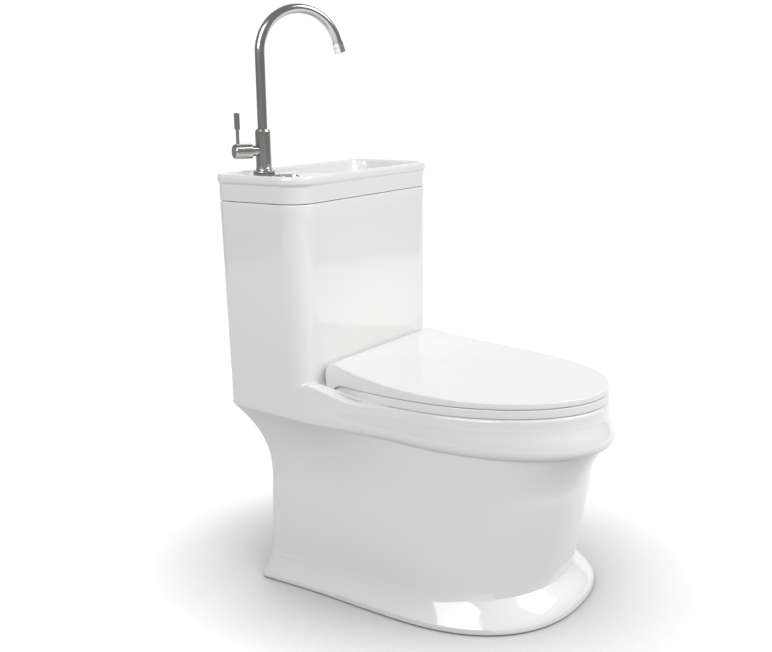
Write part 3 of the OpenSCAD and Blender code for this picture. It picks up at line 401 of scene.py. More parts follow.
def make_camera():
    """The photo's own camera, as recovered from it; FOCAL_PX and CENTRE_PX are pixels of IMAGE."""
    data = bpy.data.cameras.new("camera")
    data.sensor_width = 36.0
    data.lens = FOCAL_PX / IMAGE[0] * data.sensor_width
    data.shift_x = (IMAGE[0] / 2 - CENTRE_PX[0]) / IMAGE[0]
    data.shift_y = (CENTRE_PX[1] - IMAGE[1] / 2) / IMAGE[0]
    data.clip_end = 60.0
    camera = bpy.data.objects.new("camera", data)
    bpy.context.scene.collection.objects.link(camera)
    ahead = Vector((math.sin(YAW) * math.cos(PITCH), math.cos(YAW) * math.cos(PITCH), -math.sin(PITCH)))
    right = ahead.cross(Vector((0, 0, 1))).normalized()
    up = right.cross(ahead)
    turn = Matrix((right, up, -ahead)).transposed() @ Matrix.Rotation(ROLL, 3, "Z")
    camera.matrix_world = Matrix.LocRotScale(CAM_AT, turn.to_quaternion(), None)
    bpy.context.scene.camera = camera


make_camera()


# ---------------------------------------------------------------- materials
def surface(material):
    """The shader node of a material."""
    return material.node_tree.nodes["Principled BSDF"]


def principled(name, color, roughness, metallic=0.0, **sockets):
    """A new material; each further setting is an input of its shader, with _ for a space."""
    material = bpy.data.materials.new(name)
    material.use_nodes = True
    shader = surface(material)
    shader.inputs["Base Color"].default_value = (*color, 1.0)
    shader.inputs["Roughness"].default_value = roughness
    shader.inputs["Metallic"].default_value = metallic
    for key, value in sockets.items():
        shader.inputs[key.replace("_", " ")].default_value = value
    return material


def node(material, kind, **settings):
    """A new node; each setting is an input of it, with _ for a space, or else a property."""
    made = material.node_tree.nodes.new(kind)
    for key, value in settings.items():
        label = key.replace("_", " ")
        if label in made.inputs:
            made.inputs[label].default_value = value
        else:
            setattr(made, key, value)
    return made


def combine(material, operation, *values):
    """A Math node over two values, each a number or another node's output."""
    made = node(material, "ShaderNodeMath", operation=operation)
    for socket, value in zip(made.inputs, values):
        if isinstance(value, (int, float)):
            socket.default_value = value
        else:
            material.node_tree.links.new(value, socket)
    return made.outputs[0]


def blend(material, share, low, high):
    """The colour low where share is 0, and high where it is 1."""
    made = node(material, "ShaderNodeMix", data_type="RGBA", A=(*low, 1), B=(*high, 1))
    material.node_tree.links.new(share, made.inputs["Factor"])
    return next(socket for socket in made.outputs if socket.type == "RGBA")


def noise(material, scale, detail=3.0, stretch=(1, 1, 1)):
    """Noise over the object's own coordinates, in metres."""
    tree = material.node_tree
    where = node(material, "ShaderNodeTexCoord")
    place = node(material, "ShaderNodeMapping", Scale=stretch)
    pattern = node(material, "ShaderNodeTexNoise", Scale=scale, Detail=detail)
    tree.links.new(where.outputs["Object"], place.inputs["Vector"])
    tree.links.new(place.outputs["Vector"], pattern.inputs["Vector"])
    return pattern.outputs["Fac"]


NOISE_LOW, NOISE_HIGH = 0.3, 0.7


def spread(material, value, low, high):
    """Maps noise, most of which lies between NOISE_LOW and NOISE_HIGH, to the range low to high."""
    made = node(material, "ShaderNodeMapRange", From_Min=NOISE_LOW, From_Max=NOISE_HIGH, To_Min=low,
                To_Max=high)
    material.node_tree.links.new(value, made.inputs["Value"])
    return made.outputs["Result"]


def bumped(material, heights, strength, distance):
    """Adds (height, weight) patterns as one bump."""
    tree = material.node_tree
    total = None
    for value, weight in heights:
        scaled = combine(material, "MULTIPLY", value, weight)
        total = scaled if total is None else combine(material, "ADD", total, scaled)
    bump = node(material, "ShaderNodeBump", Strength=strength, Distance=distance)
    tree.links.new(total, bump.inputs["Height"])
    tree.links.new(bump.outputs["Normal"], surface(material).inputs["Normal"])


def tinted(material, value, low, high):
    """Varies the base colour between two close colours."""
    colour = blend(material, spread(material, value, 0, 1), low, high)
    material.node_tree.links.new(colour, surface(material).inputs["Base Color"])


def roughened(material, value, low, high):
    """Varies the roughness between two values."""
    rough = spread(material, value, low, high)
    material.node_tree.links.new(rough, surface(material).inputs["Roughness"])


def glaze_material():
    m = principled("white_glaze", (0.83, 0.83, 0.825), 0.08, IOR=1.52, Coat_Weight=0.35, Coat_Roughness=0.03)
    tinted(m, noise(m, 3.0, 2.0), (0.825, 0.825, 0.818), (0.84, 0.84, 0.836))
    roughened(m, noise(m, 9.0, 4.0), 0.06, 0.12)
    bumped(m, [(noise(m, 14.0, 2.0), 1.0), (noise(m, 160.0, 2.0), 0.05)], 0.12, 0.004)
    return m


def shades(color, low, high):
    """A colour times low and times high, kept under 1."""
    return tuple(c * low for c in color), tuple(min(1, c * high) for c in color)


def plastic_material(name, color, rough):
    m = principled(name, color, rough)
    tinted(m, noise(m, 6.0, 2.0), *shades(color, 0.985, 1.01))
    roughened(m, noise(m, 30.0, 3.0), rough * 0.8, rough * 1.25)
    bumped(m, [(noise(m, 500.0, 2.0), 1.0)], 0.05, 0.0004)
    return m


def metal_material(name, color, rough, along=(1, 1, 1), grain=900.0, strength=0.12, anisotropic=0.0):
    """along scales the grain's coordinates: a small share there draws the grain out that way."""
    m = principled(name, color, rough, 1.0, Anisotropic=anisotropic)
    tinted(m, noise(m, 25.0, 3.0), *shades(color, 0.93, 1.05))
    roughened(m, noise(m, grain, 4.0, along), rough * 0.7, rough * 1.4)
    bumped(m, [(noise(m, grain, 3.0, along), 1.0)], strength, 0.0003)
    return m


def rubber_material(name, color):
    m = principled(name, color, 0.7)
    tinted(m, noise(m, 80.0), *shades(color, 0.8, 1.25))
    bumped(m, [(noise(m, 1500.0), 1.0)], 0.3, 0.0003)
    return m


GLAZE = glaze_material()
SEAT = plastic_material("seat_plastic", (0.84, 0.84, 0.835), 0.16)
BRUSHED = metal_material("brushed_steel", (0.56, 0.55, 0.54), 0.17, along=(1, 1, 0.02), grain=700.0,
                         strength=0.04, anisotropic=0.4)
STEEL = metal_material("plain_steel", (0.55, 0.55, 0.55), 0.35)
CHROME = metal_material("chrome", (0.80, 0.81, 0.82), 0.07, strength=0.02)
RUBBER = rubber_material("seal_rubber", (0.03, 0.03, 0.032))
RESIN = plastic_material("moulded_plastic", (0.78, 0.80, 0.82), 0.35)
FLOAT = plastic_material("float_plastic", (0.85, 0.85, 0.84), 0.4)
BLUE = plastic_material("blue_plastic", (0.06, 0.17, 0.5), 0.35)
FINISH = {
    "glaze": GLAZE, "seat_plastic": SEAT, "brushed_steel": BRUSHED, "plain_steel": STEEL,
    "chrome_trim": CHROME, "seal_rubber": RUBBER, "moulded_plastic": RESIN, "float_plastic": FLOAT,
    "blue_plastic": BLUE,
}


def dress_solids():
    """Gives each CAD node the finish of its material slot."""
    for part in frame["record"]["subparts"]:
        kept = frame["nodes"][part["node"]]
        for slot in kept.material_slots:
            slot.material = FINISH[part["material_slot"]]
        if not kept.material_slots:
            kept.data.materials.append(FINISH[part["material_slot"]])


dress_solids()


# ---------------------------------------------------------------- pan, pedestal, plinth and cistern
def cistern_half(z, inset=0.0):
    """The cistern at height z: it widens from its foot to the seam."""
    t = (z - RIM_Z) / (SEAM_Z - RIM_Z)
    return box_half(mix(CISTERN_FOOT_W, CISTERN_W, t) / 2 - inset, -inset, -CISTERN_D + inset,
                    max(4, CISTERN_REAR_R - inset), max(8, CISTERN_R - inset))


def pedestal_half(v, side, toe, heel, inset=0.0):
    """v goes from 0 under the band to 1 at the plinth, which stands out by side, toe and heel."""
    w = mix(PEDESTAL_W / 2 - PEDESTAL_WAIST, PEDESTAL_W / 2, v) + side - inset
    return pan_half(w - PEDESTAL_WAIST - 0.2 * side, w, -PEDESTAL_BACK + heel - inset, -CISTERN_D + CISTERN_R,
                    WIDE_Y, -(RIM_REACH - PEDESTAL_TUCK - PEDESTAL_LEAN * v + toe) + inset, PEDESTAL_REAR_R,
                    PEDESTAL_NOSE + 0.005 * side)


def body_half(back, side, front, out=0.0, inset=0.0):
    """The body under the rim: each share goes from 0 at the pedestal to 1 at the band."""
    return pan_half(mix(PEDESTAL_W / 2 - 2 * PEDESTAL_WAIST, CISTERN_FOOT_W / 2, back) - inset,
                    mix(PEDESTAL_W / 2 - PEDESTAL_WAIST, RIM_W / 2, side) + 0.5 * out - inset,
                    mix(-PEDESTAL_BACK, 0, back) - inset, -CISTERN_D + CISTERN_R, WIDE_Y,
                    -(mix(RIM_REACH - PEDESTAL_TUCK, RIM_REACH, front) + out) + inset,
                    mix(PEDESTAL_REAR_R, CISTERN_REAR_R, back), mix(PEDESTAL_NOSE, 2, front))


def falling(half, z, drop):
    """An outline at height z that falls by drop from the back of the pan to its front."""
    outline = ring(half, z)
    outline[:, 2] += drop * (0.5 + outline[:, 1] / RIM_REACH)
    return outline


def through(rings, between):
    """Adds rings on smooth curves through the given ones."""
    out = []
    for k in range(len(rings) - 1):
        a, b = rings[max(k - 1, 0)], rings[k]
        c, d = rings[k + 1], rings[min(k + 2, len(rings) - 1)]
        for j in range(between + 1):
            t = j / (between + 1)
            out.append(0.5 * (2 * b + (c - a) * t + (2 * a - 5 * b + 4 * c - d) * t * t
                              + (3 * b - a - 3 * c + d) * t ** 3))
    return out + [rings[-1]]


def cove_ring(s, inset=0.0, up=0.0):
    """s goes from 0 at the pedestal to 1 at the band; the cove opens later at the back than in front."""
    return falling(body_half(COVE_SHARE * s ** 2.5, COVE_SHARE * s ** 2.2, COVE_SHARE * s ** 1.7, 0, inset),
                   mix(COVE_Z, LIP_Z - 3, s) + up, mix(-COVE_RISE, BAND_DROP, s))


# Stretches over which the rim sweeps up and its edge gets rounder, each a start and a length:
# backwards along y, forwards along -y, and outwards along x.
RISE_BACKWARDS = (-HINGE_BACK - 80, 107)
RISE_FORWARDS = (CISTERN_D - 43, 40)
RISE_OUTWARDS = (174, 22)
ROUND_BACKWARDS = (-340, 80)
ROUND_FORWARDS = (200, 30)


def swept(outline, share, inward=0.0):
    """Beside the cover the rim sweeps up to the cistern's foot, and its edge is rounder there."""
    x, y = np.abs(outline[:, 0]), outline[:, 1]
    rise = ramp(y, *RISE_BACKWARDS) * ramp(-y, *RISE_FORWARDS)
    rounder = ramp(y, *ROUND_BACKWARDS) * ramp(-y, *ROUND_FORWARDS)
    out = outline.copy()
    out[:, 2] += SWEEP * share * rise * ramp(x, *RISE_OUTWARDS)
    out[:, 0] -= np.sign(outline[:, 0]) * inward * rounder
    return out


def pan_rings():
    """Outlines of the outside, from the floor up to the cistern's top."""
    flare = (PLINTH_W - PEDESTAL_W) / 2
    foot = [ring(pedestal_half(1, flare - e, PLINTH_TOE - e, PLINTH_HEEL - e), z)
            for e, z in ((6.0, 0.0), (5.6, 1.6), (2.0, 1.9), (0.7, 2.7), (0.15, 4.0), (0.0, 5.5))]
    plinth = [ring(pedestal_half(1, flare * v ** 1.5, PLINTH_TOE * math.sin(0.5 * math.pi * v),
                                 PLINTH_HEEL * v ** 1.5), mix(PLINTH_H, PLINTH_EDGE, v))
              for v in 1 - np.linspace(0, 1, 26) ** 1.4]
    wall = [falling(pedestal_half(v, 0, 0, 0), mix(COVE_Z, PLINTH_H, v), -COVE_RISE * (1 - v))
            for v in np.linspace(0.9, 0.1, 9)]
    under = [cove_ring(s) for s in np.linspace(0, 1, 30)]
    lip = [falling(body_half(1, 1, 1, max(0.0, LIP_OUT - 0.8 * LIP_R * (1 - math.cos(a)))),
                   LIP_Z - 2 + LIP_R * (1 + math.sin(a)), BAND_DROP) for a in angles(-62, 0, 12)]
    top = [falling(body_half(1, 1, 1, LIP_OUT * (1 - ease(min(1, 1.25 * u)))),
                   mix(LIP_Z + LIP_R - 2, RIM_Z - RIM_EDGE_R, u), BAND_DROP * (1 - u))
           for u in np.linspace(0, 1, 20)[1:]]
    edge = [rim_edge(a) for a in angles(8, 90, 12)]
    fillet = [shoulder(a) for a in angles(0, 90, 22)]
    deck = [mix(edge[-1], fillet[0], t) for t in (0.25, 0.5, 0.75)]
    walls = [ring(cistern_half(z), z) for z in np.linspace(RIM_Z + 40, SEAM_Z - CROWN_R, 12)]
    crown = [ring(cistern_half(SEAM_Z, CROWN_R * (1 - math.cos(a))), SEAM_Z - CROWN_R * (1 - math.sin(a)))
             for a in angles(30, 90, 3)]
    return foot + plinth + wall + under + lip + top + edge + deck + fillet + walls + crown


def rim_edge(a):
    """The rim's rounded edge at angle a: round at the pan, and upright where the cistern stands on it."""
    z = RIM_Z - RIM_EDGE_R * (1 - math.sin(a))
    round_one = ring(body_half(1, 1, 1, 0, RIM_EDGE_R * (1 - math.cos(a))), z)
    upright = ring(body_half(1, 1, 1), z)
    share = ramp(-upright[:, 1], CISTERN_D - CISTERN_R, 90)[:, None]
    return swept(upright * (1 - share) + round_one * share, 1, SIDE_EDGE_R * (1 - math.cos(a)))


def shoulder(a):
    """The fillet between deck and cistern at angle a, which runs out towards the cistern's sides."""
    ahead = SHOULDER_R * (1 - math.sin(a))
    outline = box_half(CISTERN_FOOT_W / 2, 0, -CISTERN_D - ahead, CISTERN_REAR_R, CISTERN_R,
                       CISTERN_R + ahead)
    return swept(ring(outline, RIM_Z + 0.02 + SHOULDER_R * (1 - math.cos(a))), math.cos(a))


SUMP_Y = -(OUTLET_BACK + 2 * TRAP_BEND + SUMP_AHEAD)
SUMP_Z = RIM_Z - BOWL_DEPTH
BOWL_MID = -(BOWL_BACK + 0.47 * BOWL_L)


def bowl_rings(wall=0.0, lip=2.0):
    """Outlines of the bowl from its sump up to lip above the rim, wall larger than the bowl itself."""
    rings = []
    for s in 1 - np.linspace(0, 1, 40) ** 1.4:
        f = max(0.0, 1 - s ** 2.2) ** 0.75
        w = mix(SUMP_HALF_W, BOWL_W / 2, f) + wall
        back = mix(SUMP_Y + SUMP_REAR, -BOWL_BACK, f) + wall
        front = mix(SUMP_Y - SUMP_FRONT, -(BOWL_BACK + BOWL_L), f) - wall
        outline = egg_half(0.78 * w, w, back, mix(SUMP_Y, BOWL_MID, f), front, 0.45 * w, 2.1)
        rings.append(ring(outline, RIM_Z - BOWL_DEPTH * s - (wall if s == 1 else 0)))
    last = rings[-1].copy()
    last[:, 2] = RIM_Z + lip
    return rings + [last]


def trapway(r, foot):
    """The water's way out: along the sump, up, over the weir and down to the floor."""
    up_y, low, weir = -(OUTLET_BACK + 2 * TRAP_BEND), SUMP_Z + TRAP_R, SUMP_Z + TRAP_R + TRAP_RISE
    line = [(SUMP_Y - 10, low, 0.0), (up_y - ELBOW_R, low, 0.0)]
    line += [(up_y - ELBOW_R + ELBOW_R * math.sin(a), low + ELBOW_R * (1 - math.cos(a)), a)
             for a in angles(10, 90, 9)]
    line += [(up_y + TRAP_BEND * (1 - math.cos(a)), weir + TRAP_BEND * math.sin(a), math.pi / 2 - a)
             for a in angles(0, 180, 19)]
    line.append((-OUTLET_BACK, foot, -math.pi / 2))
    t = np.arange(40) * math.pi / 20
    across, up = r * np.cos(t), r * np.sin(t)
    return loft([np.stack([across, y - up * math.sin(a), z + up * math.cos(a)], 1) for y, z, a in line])


def under_hollow():
    """The space under the pan, open at the floor, clear of the bowl, the trapway and the sockets."""
    t = CLAY_T
    rings = [ring(pedestal_half(1, 0, 0, 0, t), -1), ring(pedestal_half(1, 0, 0, 0, t), PLINTH_H)]
    rings += [cove_ring(s, t if s == 0 else 0.7 * t, s * s * (t + 5)) for s in (0, 0.5, 0.75, 0.9)]
    share = (COVE_SHARE, COVE_SHARE, COVE_SHARE)
    rings += [falling(body_half(*share, 0, t + 4), LIP_Z + t + 6, BAND_DROP),
              ring(body_half(*share, 0, t + 6), RIM_Z - 19)]
    space = mesh_piece("hollow", *loft(rings), None, None)
    recalc(space)
    cut(space, [loft(bowl_rings(t, -10)), trapway(TRAP_R + SOCKET_WALL, -2),
                cylinder(OUTLET_R + SOCKET_WALL, (0, -OUTLET_BACK, -2), 60),
                cylinder(RECESS_R + SOCKET_WALL, (*INLET, RECESS_Z), 240)]
        + [cylinder(2 * PLUG_R, (x, -BOLT_BACK, 340), 60) for x in (-BOLT_SIDE, BOLT_SIDE)])
    return space


def pan():
    piece = skin("pan_skin", pan_rings(), "toilet", GLAZE)
    tank = [ring(cistern_half(z, CLAY_T), z) for z in (RIM_Z + 2, RIM_Z + 40, SEAM_Z + 1)]
    cut(piece, [under_hollow(), loft(bowl_rings()), loft(tank), trapway(TRAP_R, -1)])
    cut(piece, [cylinder(OUTLET_R, (0, -OUTLET_BACK, -1), OUTLET_H + 1),
                cylinder(FLUSH_HOLE_R, (*FLUSH, 380), 30),
                cylinder(INLET_HOLE_R, (*INLET, 370), 40), cylinder(RECESS_R, (*INLET, RECESS_Z), RECESS_H)]
        + [cylinder(PLUG_R, (x, -BOLT_BACK, 355), 46) for x in (-BOLT_SIDE, BOLT_SIDE)])
    sharpen(piece, 40)
    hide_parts("ceramic_pan_and_cistern")


pan()


# ---------------------------------------------------------------- cistern lid with basin
def lid_half(inset):
    """The lid's outline, drawn in by inset; below 0 it stands out, but never at the back."""
    return box_half(CISTERN_W / 2 - inset, min(0, -inset), -CISTERN_D + inset,
                    max(6, CISTERN_REAR_R - max(0, inset)), max(12, CISTERN_R - inset))


def basin_ring(s, z, wall=0.0):
    """s goes from 0 at the basin's edge to 1 at its floor; wall makes the outside of the clay."""
    left = mix(-BASIN_LEFT, -FLOOR_LEFT, s) - 0.66 * wall
    right = mix(CISTERN_W / 2 - BASIN_END, FLOOR_RIGHT, s) + 0.3 * wall
    back = mix(-BASIN_RIM, -FLOOR_BACK, s) + 0.3 * wall
    front = mix(-CISTERN_D + BASIN_RIM, -CISTERN_D + FLOOR_FRONT, s) - 0.3 * wall
    return ring(box_half((right - left) / 2, back, front, BASIN_REAR_R, BASIN_FRONT_R), z, (left + right) / 2)


# The basin's wall from its edge down: the share of the way in to the floor, and the depth there.
BASIN_WALL = (
    (0, 0), (0.012, 0.7), (0.045, 3.2), (0.12, 10), (0.3, 22), (0.5, 33), (0.7, 45), (0.86, 54),
    (0.95, 58.3), (1.03, 59.8), (1.12, BASIN_DEPTH),
)


def lid():
    bead_r = ROLL_H / 2
    bead_z = LID_TOP_Z - bead_r
    under = LID_DECK_Z - LID_T
    floor = LID_DECK_Z - BASIN_DEPTH
    inside = [basin_ring(1, floor - LID_T, LID_T), basin_ring(0.9, floor - 0.8 * LID_T, LID_T),
              basin_ring(0, under, LID_T), ring(lid_half(LID_T), under), ring(lid_half(LID_T), LID_FOOT_Z)]
    skirt = [ring(lid_half(SKIRT_EDGE_R * (1 - math.sin(a))), LID_FOOT_Z + SKIRT_EDGE_R * (1 - math.cos(a)))
             for a in angles(0, 90, 4)]
    skirt += [ring(lid_half(0), z) for z in np.linspace(LID_FOOT_Z + 6, bead_z - 1.25 * bead_r, 5)]
    bead = []
    for a in angles(-75, 90, 20):
        back = (ROLL_OUT if a < 0 else 0.45 * bead_r) * (1 - math.cos(a))
        bead.append(ring(lid_half(-ROLL_OUT + back), bead_z + bead_r * math.sin(a)))
    lip = through([bead[-2], bead[-1], ring(lid_half(RIM_LIP - ROLL_OUT - 4), LID_TOP_Z - 0.05),
                   ring(lid_half(RIM_LIP - ROLL_OUT - 1), LID_TOP_Z - 0.8),
                   ring(lid_half(RIM_LIP - ROLL_OUT + 2), LID_DECK_Z + 0.4),
                   ring(lid_half(RIM_LIP - ROLL_OUT + 4), LID_DECK_Z)], 3)[5:]
    basin = through([basin_ring(s, LID_DECK_Z - depth) for s, depth in BASIN_WALL], 3)
    piece = skin("lid_skin", inside + skirt + bead + lip + basin, "toilet", GLAZE)
    cut(piece, [cylinder(FAUCET_HOLE_R, (*FAUCET, under - 20), 60),
                cylinder(BUTTON_HOLE_R, (*BUTTON, under - 20), 60),
                cylinder(WASTE_HOLE_R, (*WASTE, floor - 30), 60)])
    sharpen(piece, 40)
    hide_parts("cistern_lid_basin")


lid()


# ---------------------------------------------------------------- seat ring and cover
def seat_half(w, wr, yb, yf, rb):
    """Half of the ring's or the cover's outline: half width wr at the back, w at its widest."""
    arms = min(ARMS, wr - rb)
    back = np.stack([arms * np.linspace(0, 1, BACK), np.full(BACK, yb)], 1)
    gap = np.stack([np.linspace(arms, wr - rb, 6)[1:-1], np.full(4, yb)], 1)
    a = np.linspace(math.pi / 2, 0, REAR)
    corner = np.stack([wr - rb + rb * np.cos(a), yb - rb + rb * np.sin(a)], 1)
    u = steps(0, 1, SIDE + TURN) ** 1.6
    side = np.stack([mix(wr, w, 1 - (1 - u) ** 2), mix(yb - rb, WIDE_Y, u)], 1)
    return np.concatenate([back, gap, corner, side, nose(w, WIDE_Y, yf, 2.0)])


def seat_ring():
    top = SEAT_Z + SEAT_T

    def outer(inset, z):
        """Behind the hinge the ring's end keeps within the circle that clears the rim."""
        end = min(15, math.sqrt((HEEL_FOOT + 0.1) ** 2 - (HINGE_Z - z) ** 2))
        return ring(seat_half(SEAT_W / 2 - inset, SEAT_REAR_W / 2 - COVER_T + 0.8 - inset,
                              -HINGE_BACK + end - inset, -SEAT_REACH + inset, 6), z)

    def hole(grow, z):
        return ring(seat_half(HOLE_SHARE * SEAT_W / 2 + grow, HOLE_REAR_SHARE * SEAT_W / 2 + grow,
                              -BOWL_BACK - 12 + grow, -(BOWL_BACK + BOWL_L) - 1 - grow, 40), z)

    outside = [outer(1.2, SEAT_Z - 0.8), outer(0.3, SEAT_Z - 0.2), outer(0, SEAT_Z + 1)]
    outside += [outer(0, z) for z in np.linspace(SEAT_Z + 4, top - 2, 6)]
    bevel = [outer(1.8 * (1 - math.cos(a)), top - 2 * (1 - math.sin(a))) for a in angles(30, 90, 3)]
    inner = [hole(12, top), hole(7, top - 0.8), hole(3, top - 2.6), hole(0.8, top - 5), hole(0, top - 8),
             hole(0, SEAT_Z + 3), hole(0.6, SEAT_Z + 0.9), hole(2, SEAT_Z)]
    piece = skin("seat_skin", outside + bevel + inner, "seat", SEAT, closed=True)
    cut(piece, [block(NOTCH, -259, -199, SEAT_Z - 1, SEAT_Z + 39)])
    sharpen(piece, 35)
    for k, side in enumerate((-1, 1)):
        hinge_arm(f"seat_arm_{k}", side * SEAT_ARM, "seat",
                  [(-6.5, 4.5), (4.8, -6.4), (-34, -29), (-42, -26), (-42, -17)])
    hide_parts("seat_ring")


def hinge_arm(name, x, body, web):
    """A plate round the hinge axis, with a web that joins it to its seat or cover."""
    a = np.linspace(0, 2 * math.pi, 49)[:-1]
    circle = np.stack([np.cos(a), np.sin(a)], 1)
    hole, rim = PIN_HOLE_R * circle, ARM_R * circle
    verts, faces = [], []
    for dx in (-ARM_T / 2, ARM_T / 2):
        for loop in (hole, rim):
            verts += [(x + dx, -HINGE_BACK + p[0], HINGE_Z + p[1]) for p in loop]
    n = len(a)
    for i in range(n):
        j = (i + 1) % n
        faces += [(i, j, n + j, n + i), (2 * n + i, 3 * n + i, 3 * n + j, 2 * n + j),
                  (n + i, n + j, 3 * n + j, 3 * n + i), (i, 2 * n + i, 2 * n + j, j)]
    base, m = len(verts), len(web)
    for dx in (-ARM_T / 2, ARM_T / 2):
        verts += [(x + dx, -HINGE_BACK + p[0], HINGE_Z + p[1]) for p in web]
    faces += [tuple(base + i for i in range(m)), tuple(base + m + i for i in range(m))[::-1]]
    faces += [(base + i, base + (i + 1) % m, base + m + (i + 1) % m, base + m + i) for i in range(m)]
    piece = mesh_piece(name, np.array(verts, float), faces, body, SEAT)
    recalc(piece)
    sharpen(piece, 40)


COVER_L = SEAT_REACH - HINGE_BACK
COVER_MID = -(HINGE_BACK + 215)


def cover_edge_z(y):
    """The cover's upper edge: round about the hinge behind it, and falling towards the front."""
    t = np.clip(1 + (y + HINGE_BACK) / COVER_L, 0, 1)
    front = mix(HINGE_Z + HEEL_R, COVER_TOP_FRONT, 1 - t ** 3.5)
    heel = HINGE_Z + np.sqrt(np.clip(HEEL_R ** 2 - (y + HINGE_BACK) ** 2, 0, None))
    return np.where(y > -HINGE_BACK, heel, front)


def cover_foot_z(x, y):
    """The cover's sides run down round the hinge, nearly to the rim."""
    back = y + HINGE_BACK
    share = np.clip(1 - (back.clip(0) / HEEL_R) ** HEEL_POWER, 0, None)
    heel = HINGE_Z - HEEL_FOOT * share ** (1 / HEEL_POWER)
    front = mix(HINGE_Z - HEEL_FOOT, COVER_Z, 1 - (1 - np.clip((TIP_BACK - back) / 40, 0, 1)) ** 3)
    foot = np.minimum(np.where(back > TIP_BACK, heel, front), HINGE_Z - 2)
    return np.where((np.abs(x) <= COVER_NOTCH) & (back > -19.5), HINGE_Z - 2, foot)


def cover():
    t = COVER_T

    def edge(inset, yb):
        return ring(seat_half(SEAT_W / 2 - inset, SEAT_REAR_W / 2 + 2 - inset, -HINGE_BACK + yb,
                              -SEAT_REACH + inset, 8 - inset), 0)

    def top(s, inset, drop):
        p = edge(inset, HEEL_R - 4)
        x, y = p[:, 0] * s, mix(COVER_MID, p[:, 1], s)
        crown = COVER_CROWN * (1 - s ** 2.5) * np.clip(-3 * (y + HINGE_BACK) / COVER_L, 0, 1)
        return np.stack([x, y, cover_edge_z(y) - drop + crown], 1)

    def level(inset, yb, u):
        p = edge(inset, yb)
        p[:, 2] = mix(cover_foot_z(p[:, 0], p[:, 1]), cover_edge_z(p[:, 1]), u)
        return p

    inner = [top(s, t, t) for s in (0.1, 0.25, 0.4, 0.5, 0.62, 0.72, 0.8, 0.88, 0.94, 0.97)]
    inner += [level(t, HEEL_R - 5.5, 0.55), level(t, HEEL_R - 5, 0)]
    outer = through([level(0.8, HEEL_R - 2, 0), level(0, HEEL_R - 1, 0.1), level(0, HEEL_R - 0.2, 0.5),
                     level(0.4, HEEL_R - 1.5, 0.86),
                     top(0.99, 0, 0), top(0.965, 0, 0), top(0.93, 0, 0), top(0.88, 0, 0)], 3)
    crown = [top(s, 0, 0) for s in np.linspace(0.86, 0.04, 30)]
    piece = skin("cover_skin", inner + outer + crown, "cover", SEAT)
    sharpen(piece, 50)
    for k, side in enumerate((-1, 1)):
        hinge_arm(f"cover_arm_{k}", side * COVER_ARM, "cover",
                  [(-ARM_R, 0), (ARM_R, 0), (ARM_R, 20), (-ARM_R, 20)])
        for j, (x, y, up) in enumerate(BOSSES):
            verts, faces = cylinder(BOSS_R, (side * x, y, COVER_Z + 1.5), up)
            boss = mesh_piece(f"cover_boss_{k}{j}", verts, faces, "cover", SEAT)
            sharpen(boss, 40)
    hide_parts("seat_cover")


seat_ring()
cover()


# ---------------------------------------------------------------- swan neck
def neck_line():
    """Points and directions along the neck's centre line, in the plane of its bend."""
    line = [((0, z), (0, 1)) for z in np.linspace(NECK_FOOT_Z, BEND_Z, 12)]
    for a in np.linspace(0, NECK_TURN, 72)[1:]:
        at = (NECK_BEND * (1 - math.cos(a)), BEND_Z + NECK_BEND * math.sin(a))
        line.append((at, (math.sin(a), math.cos(a))))
    (u, z), (du, dz) = line[-1]
    return line + [((u + du * d, z + dz * d), (du, dz)) for d in (4, 8, 12)]


def neck():
    sides, rings = 56, []
    ahead = np.array([math.cos(SPOUT_DIR), math.sin(SPOUT_DIR), 0])
    across = np.array([-ahead[1], ahead[0], 0])
    line = neck_line()

    def section(r, u, z, du, dz):
        """A circle of radius r across the line, which is at u and z there and runs along du, dz."""
        a = np.arange(sides) * 2 * math.pi / sides
        inward = ahead * -dz + np.array([0, 0, du])
        centre = np.array([FAUCET[0], FAUCET[1], z]) + ahead * u
        return centre + r * (np.cos(a)[:, None] * across + np.sin(a)[:, None] * inward)

    for r, way in ((NECK_R, 1), (NECK_R - NECK_T, -1)):
        rings += [section(r, *p, *d) for p, d in line[::way]]
    piece = skin("swan_neck_tube", rings, "spout", BRUSHED, closed=True)
    sharpen(piece, 40)
    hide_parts("swan_neck")


neck()


# ---------------------------------------------------------------- springs of the two buttons
def springs():
    """The CAD coils again, each a copy with a mesh of its own, on the toilet's body."""
    for key in ("full", "half"):
        name = f"{key}_spring"
        coil = bpy.data.objects.new(f"{name}_coil", frame["nodes"][name].data.copy())
        bpy.context.scene.collection.objects.link(coil)
        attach(coil, "toilet")
        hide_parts(name)
        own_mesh(coil)


springs()


# ---------------------------------------------------------------- stage and light, in metres
PAPER = (0.4, 0.4, 0.4)
PAPER_SEEN = (0.3, 0.3, 0.3)
# GLOW is the paper's white glow; SHADOW_REACH and SHADOW_POWER shape the painted shadow that dims it near the
# object.
GLOW = 0.88
SHADOW_REACH = 0.4
SHADOW_POWER = 2.0
STAGE_SIDE = 3.4
STAGE_NEAR = -6.0
STAGE_BEND = 1.6
STAGE_R = 2.4
STAGE_TOP = 7.0
WORLD_LIGHT = 0.28


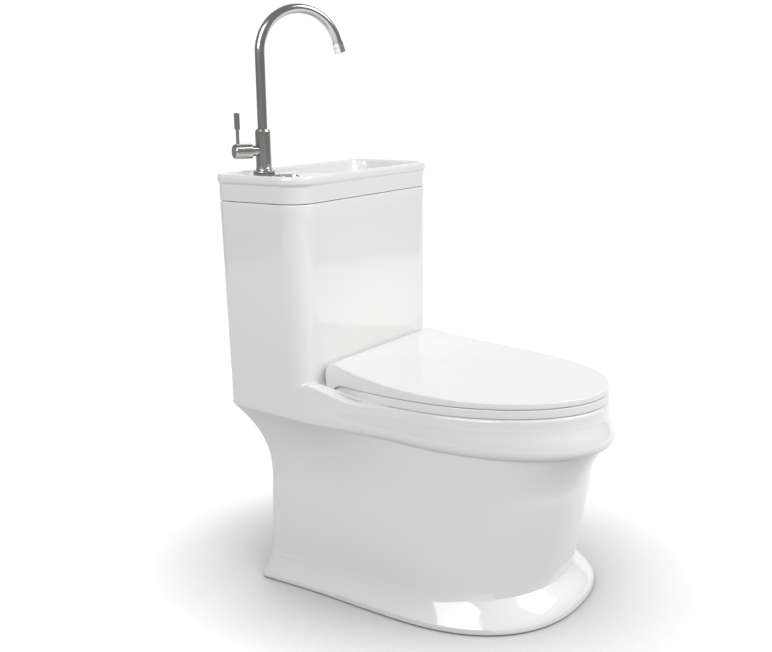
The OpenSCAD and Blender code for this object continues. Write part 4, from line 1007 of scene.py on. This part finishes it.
def paper_material():
    """Grey paper, white to the camera and to what mirrors or refracts, with the object's shadow painted on
    it.
    """
    m = principled("paper", PAPER, 0.9, Specular_IOR_Level=0.1, Emission_Color=(1, 1, 1, 1))
    shader, links = surface(m), m.node_tree.links
    rays = node(m, "ShaderNodeLightPath").outputs
    mirrored = combine(m, "MAXIMUM", rays["Is Glossy Ray"], rays["Is Transmission Ray"])
    seen = combine(m, "MAXIMUM", rays["Is Camera Ray"], mirrored)
    # Painted shadow: ambient occlusion near the object dims the paper's glow.
    painted_shadow = node(m, "ShaderNodeAmbientOcclusion", samples=8, Distance=SHADOW_REACH)
    open_share = combine(m, "POWER", painted_shadow.outputs["AO"], SHADOW_POWER)
    glow = combine(m, "MULTIPLY", seen, combine(m, "MULTIPLY", open_share, GLOW))
    links.new(blend(m, seen, PAPER, PAPER_SEEN), shader.inputs["Base Color"])
    links.new(glow, shader.inputs["Emission Strength"])
    return m


def stage():
    """A floor that rises behind the object in one wide curve."""
    verts, faces = [], []
    ahead = Vector((math.sin(YAW), math.cos(YAW), 0))
    right = Vector((ahead.y, -ahead.x, 0))
    profile = [(STAGE_NEAR, 0.0), (STAGE_BEND, 0.0)]
    profile += [(STAGE_BEND + STAGE_R * math.sin(a), STAGE_R * (1 - math.cos(a))) for a in angles(6, 90, 15)]
    profile += [(STAGE_BEND + STAGE_R, STAGE_TOP)]
    for d, z in profile:
        for side in (-STAGE_SIDE, STAGE_SIDE):
            verts.append(ahead * d + right * side + Vector((0, 0, z)))
    faces = [(2 * i, 2 * i + 1, 2 * i + 3, 2 * i + 2) for i in range(len(profile) - 1)]
    mesh = bpy.data.meshes.new("floor")
    mesh.from_pydata([tuple(v) for v in verts], [], faces)
    mesh.polygons.foreach_set("use_smooth", [True] * len(faces))
    floor = bpy.data.objects.new("floor", mesh)
    bpy.context.scene.collection.objects.link(floor)
    mesh.materials.append(paper_material())


def area_light(name, at, towards, size, power):
    data = bpy.data.lights.new(name, "AREA")
    data.shape = "RECTANGLE"
    data.size, data.size_y = size, size
    data.energy = power
    lamp = bpy.data.objects.new(name, data)
    bpy.context.scene.collection.objects.link(lamp)
    lamp.location = at
    lamp.rotation_euler = (Vector(towards) - Vector(at)).to_track_quat("-Z", "Y").to_euler()
    return lamp


def light():
    world = bpy.data.worlds.new("studio")
    world.use_nodes = True
    world.node_tree.nodes["Background"].inputs["Color"].default_value = (1, 1, 1, 1)
    world.node_tree.nodes["Background"].inputs["Strength"].default_value = WORLD_LIGHT
    bpy.context.scene.world = world
    area_light("key", (1.2, -2.3, 3.3), (0, -0.1, 0.45), 2.0, 54)
    area_light("front", (0.9, -3.4, 1.7), (0, -0.1, 0.55), 2.8, 56).visible_glossy = False
    area_light("side", (-2.8, -0.2, 2.4), (0, -0.1, 0.45), 2.0, 62)


stage()
light()
bpy.context.scene.view_settings.view_transform = "Standard"
